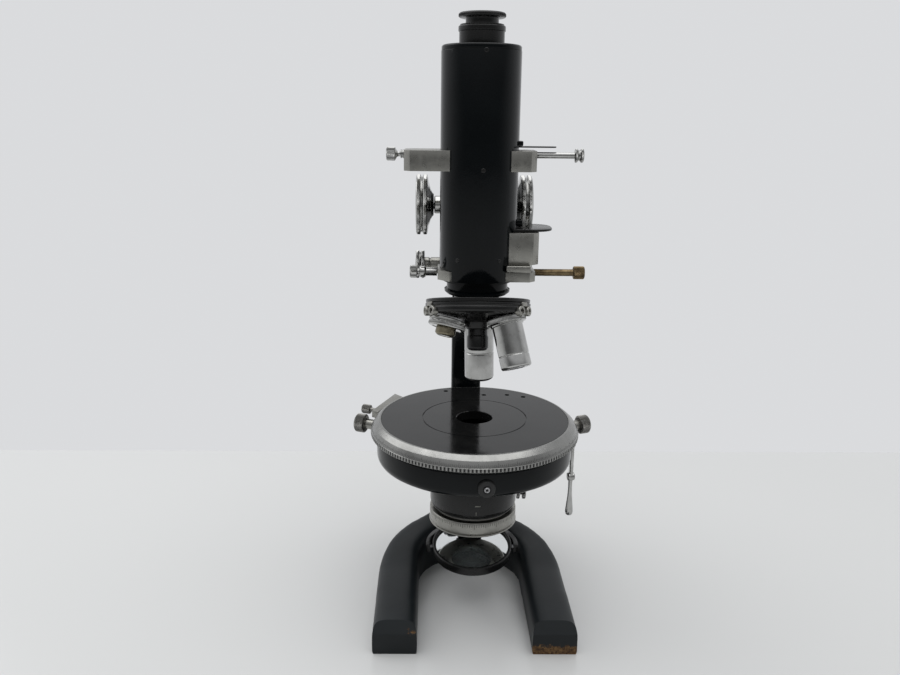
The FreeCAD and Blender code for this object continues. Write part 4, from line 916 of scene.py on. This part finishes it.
def substage_shell():
    """The condenser's turned sleeve with two grooves, joined to the CAD's guide block and its rack."""
    sleeve = lathe_mesh(
        closed([(24.6, SUB_LOW), (26.4, SUB_LOW), (26.7, SUB_LOW + 0.3), (26.7, SUB_LOW + 1.0),
                (26.2, SUB_LOW + 1.2), (26.2, SUB_LOW + 1.5), (26.8, SUB_LOW + 1.8),
                (27.1, SUB_LOW + 2.7), (SUB, SUB_LOW + 3.1), (SUB, SUB_LOW + 17.6),
                (SUB - 0.5, SUB_LOW + 17.9), (SUB - 0.5, SUB_LOW + 18.5), (SUB, SUB_LOW + 18.8),
                (SUB, SUB_TOP - 0.5), (SUB - 0.5, SUB_TOP), (20, SUB_TOP), (20, SUB_TOP - 9),
                (18, SUB_TOP - 9), (18, SUB_TOP - 11), (24.6, SUB_TOP - 11)]), 192, 0.15)
    sleeve.transform(AXLE)
    block = bmesh.new()
    block.from_mesh(NODES["substage_carriage"].data)
    everything = block.verts[:] + block.edges[:] + block.faces[:]
    bmesh.ops.bisect_plane(block, geom=everything, dist=TOUCH, plane_co=floor_point() + GUIDE_FRONT,
                           plane_no=(0, -1, 0), clear_outer=True)
    guide = bpy.data.meshes.new("guide")
    block.to_mesh(guide)
    block.free()
    return finish_piece("substage_shell", joined([sleeve, guide]), "black", "substage",
                        ("substage_carriage",))


def index_marks():
    """White index line above the polarizer's divisions and a short dash higher up."""
    meshes = []
    for bearing, bottom, top, width in ((2, 3.4, 5.6, 0.5), (4, 9.3, 10.0, 3.4)):
        a = math.radians(bearing)
        turn = Matrix.Rotation(a - math.pi / 2, 4, "Z")
        plaque = rounded_box(Vector((SUB - 0.4, -width / 2, SUB_LOW + bottom)) * MM,
                             Vector((SUB + 0.03, width / 2, SUB_LOW + top)) * MM, 0.02 * MM, 1)
        plaque.transform(AXLE @ turn)
        meshes.append(plaque)
    return finish_piece("substage_index", joined(meshes), "white", "substage")


substage_shell()
index_marks()
dress("condenser_lens", "glass", 0)
low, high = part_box("polarizer_ring")
POLAR = high.x / MM
POLAR_LOW, POLAR_TOP = low.z / MM, high.z / MM
FACE = POLAR - 0.4
SHOULDER = POLAR_TOP - 6.5
lathe("polarizer_body",
      closed([(17, POLAR_LOW), (FACE - 0.6, POLAR_LOW), (POLAR, POLAR_LOW + 0.8),
              (POLAR - 0.1, POLAR_LOW + 1.6), (FACE - 0.5, POLAR_LOW + 1.9),
              (FACE - 0.5, POLAR_LOW + 2.3), (FACE, POLAR_LOW + 2.6), (FACE, SHOULDER - 0.9),
              (FACE - 0.3, SHOULDER - 0.7), (FACE - 0.3, SHOULDER - 0.4), (FACE - 0.1, SHOULDER),
              (24.4, SHOULDER), (24.4, POLAR_TOP), (20.5, POLAR_TOP), (20.5, POLAR_LOW + 3.5),
              (17, POLAR_LOW + 3.5)]),
      AXLE, "plate", "polarizer", "polarizer_ring", steps=160, round_by=0.15)
marks("polarizer_divisions", 120, AXLE, (FACE + 0.03, SHOULDER - 4.2), (FACE + 0.03, SHOULDER - 1.0),
      "ink_and_shade", "polarizer", width=0.3)
dress("polarizer_glass", "glass", 0)
matrix = place_on(line_of("substage_turn")[0], (1, 0, 0))
near, far, radius = span("substage_pinion", matrix)
lathe("substage_knob",
      [(0, near), (3.5, near), (3.5, near + 2.1), (2, near + 2.1), (2, -4.3), (3.8, -4.3), (3.8, 4.3),
       (2, 4.3), (2, far - 6.8), (radius - 0.5, far - 6.8), (radius, far - 6.3, 1),
       (radius, far - 4.8, 1), (radius - 0.5, far - 4.3), (2.6, far - 4.1), (2.6, far - 2.9),
       (radius - 0.5, far - 2.7), (radius, far - 2.2, 1), (radius, far - 0.5, 1), (radius - 0.5, far),
       (0, far)],
      matrix, "chrome", "substage_control", "substage_pinion", round_by=0.15, knurl=(48, 0.22))
dress("mirror_fork", "black", 0.4)
MIRROR = line_of("mirror_tilt")[0]
low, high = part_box("mirror_glass")
GLASS_R = high.x / MM
GLASS_T = 3.0
rise, deep = (high.z - low.z) / MM, (high.y - low.y) / MM
lean = math.atan2(rise * 2 * GLASS_R - deep * GLASS_T, deep * 2 * GLASS_R - rise * GLASS_T)
mirror_matrix = Matrix.Translation(MIRROR) @ Matrix.Rotation(lean, 4, "X")
lathe("mirror_bezel",
      closed([(GLASS_R - 1.4, -3), (GLASS_R + 2, -3), (GLASS_R + 2.2, -2.4), (GLASS_R + 2.2, 2.4),
              (GLASS_R + 1.8, 3), (GLASS_R + 0.6, 3), (GLASS_R, 2.2), (GLASS_R, -1.5),
              (GLASS_R - 1.4, -1.5)]),
      mirror_matrix, "black", "mirror", "mirror_ring", steps=128, round_by=0.25)
lathe("mirror_plate", [(0, -1.5), (GLASS_R - 0.05, -1.5), (GLASS_R - 0.05, 1.5), (0, 1.5)],
      mirror_matrix, "mirror", "mirror", "mirror_glass", steps=128, round_by=0.1)
pins = []
for way in (-1, 1):
    pin = lathe_mesh([(0, 0), (1, 0), (1, 3.4), (0, 3.4)], 24, 0.1)
    pin.transform(place_on(MIRROR + Vector((way * (GLASS_R + 2) * MM, 0, 0)), (way, 0, 0)))
    pins.append(pin)
finish_piece("mirror_pins", joined(pins), "steel", "mirror")


# ---------------------------------------------------------------- room
def floor_look():
    """Pale table top with a soft gloss."""
    s = Shader("floor", (0.635, 0.64, 0.635), 0.2)
    s.colour(s.ramp(s.noise(1.3, 2), (0.2, (0.62, 0.625, 0.62)), (0.8, (0.65, 0.655, 0.65))))
    s.rough(s.between(s.noise(5, 2), 0.2, 0.8, 0.18, 0.24))
    return s.material


def surroundings():
    """Pale walls and ceiling around the object, and a darker room low in front of it."""
    world = bpy.data.worlds.new("room")
    bpy.context.scene.world = world
    world.use_nodes = True
    tree = world.node_tree
    background = tree.nodes["Background"]
    background.inputs["Strength"].default_value = 0.78
    direction = tree.nodes.new("ShaderNodeTexCoord").outputs["Generated"]
    split = tree.nodes.new("ShaderNodeSeparateXYZ")
    tree.links.new(direction, split.inputs[0])
    pale = tree.nodes.new("ShaderNodeMath")
    pale.operation = "MAXIMUM"
    for slot, axis, limits in ((0, "Y", (-0.75, 0.35, 0.0, 1.0)), (1, "Z", (0.1, 0.6, 0.0, 0.8))):
        part = tree.nodes.new("ShaderNodeMapRange")
        for socket, value in zip(part.inputs[1:5], limits):
            socket.default_value = value
        part.interpolation_type = "SMOOTHSTEP"
        tree.links.new(split.outputs[axis], part.inputs[0])
        tree.links.new(part.outputs[0], pale.inputs[slot])
    shade = tree.nodes.new("ShaderNodeValToRGB")
    shade.color_ramp.elements[0].color = (0.2, 0.203, 0.205, 1)
    shade.color_ramp.elements[1].color = (0.9, 0.91, 0.93, 1)
    tree.links.new(pale.outputs[0], shade.inputs["Fac"])
    tree.links.new(shade.outputs["Color"], background.inputs["Color"])


def studio():
    """Pale floor that ends behind the object, pale surroundings and two soft lamps."""
    mesh = bpy.data.meshes.new("floor")
    reach, depth, skew = 3.0, 0.2305, 0.025
    mesh.from_pydata([(-reach, -reach, 0), (reach, -reach, 0), (reach, depth + skew, 0),
                      (-reach, depth - skew, 0)], [], [(0, 1, 2, 3)])
    floor = bpy.data.objects.new("floor", mesh)
    mesh.materials.append(floor_look())
    bpy.context.scene.collection.objects.link(floor)
    surroundings()
    target = floor_point(0.19)
    for name, spot, size, watts in (
        ("window", (-1.1, 0.5, 1.3), (1.2, 1.2), 6),
        ("ceiling", (0.1, -0.1, 2.0), (2.2, 2.2), 22),
    ):
        lamp = bpy.data.lights.new(name, "AREA")
        lamp.shape = "RECTANGLE"
        lamp.size, lamp.size_y = size
        lamp.energy = watts
        holder = bpy.data.objects.new(name, lamp)
        holder.location = spot
        holder.rotation_euler = (target - Vector(spot)).to_track_quat("-Z", "Y").to_euler()
        bpy.context.scene.collection.objects.link(holder)
    bpy.context.scene.view_settings.view_transform = "Standard"


def camera():
    """Camera in front of the object and looking down a little; metres and radians."""
    pan, pitch, roll = 0.01326, 0.26407, 0.0113
    ahead = Vector((math.sin(pan) * math.cos(pitch), math.cos(pan) * math.cos(pitch), -math.sin(pitch)))
    level = Vector((math.cos(pan), -math.sin(pan), 0))
    upward = level.cross(ahead)
    right = level * math.cos(roll) + upward * math.sin(roll)
    top = upward * math.cos(roll) - level * math.sin(roll)
    data = bpy.data.cameras.new("camera")
    data.lens, data.sensor_width = 32.83, 36
    data.clip_start = 0.01
    holder = bpy.data.objects.new("camera", data)
    turn = Matrix((right, top, -ahead)).transposed().to_4x4()
    holder.matrix_world = Matrix.Translation((-0.02256, -0.50407, 0.31208)) @ turn
    bpy.context.scene.collection.objects.link(holder)
    bpy.context.scene.camera = holder


studio()
camera()
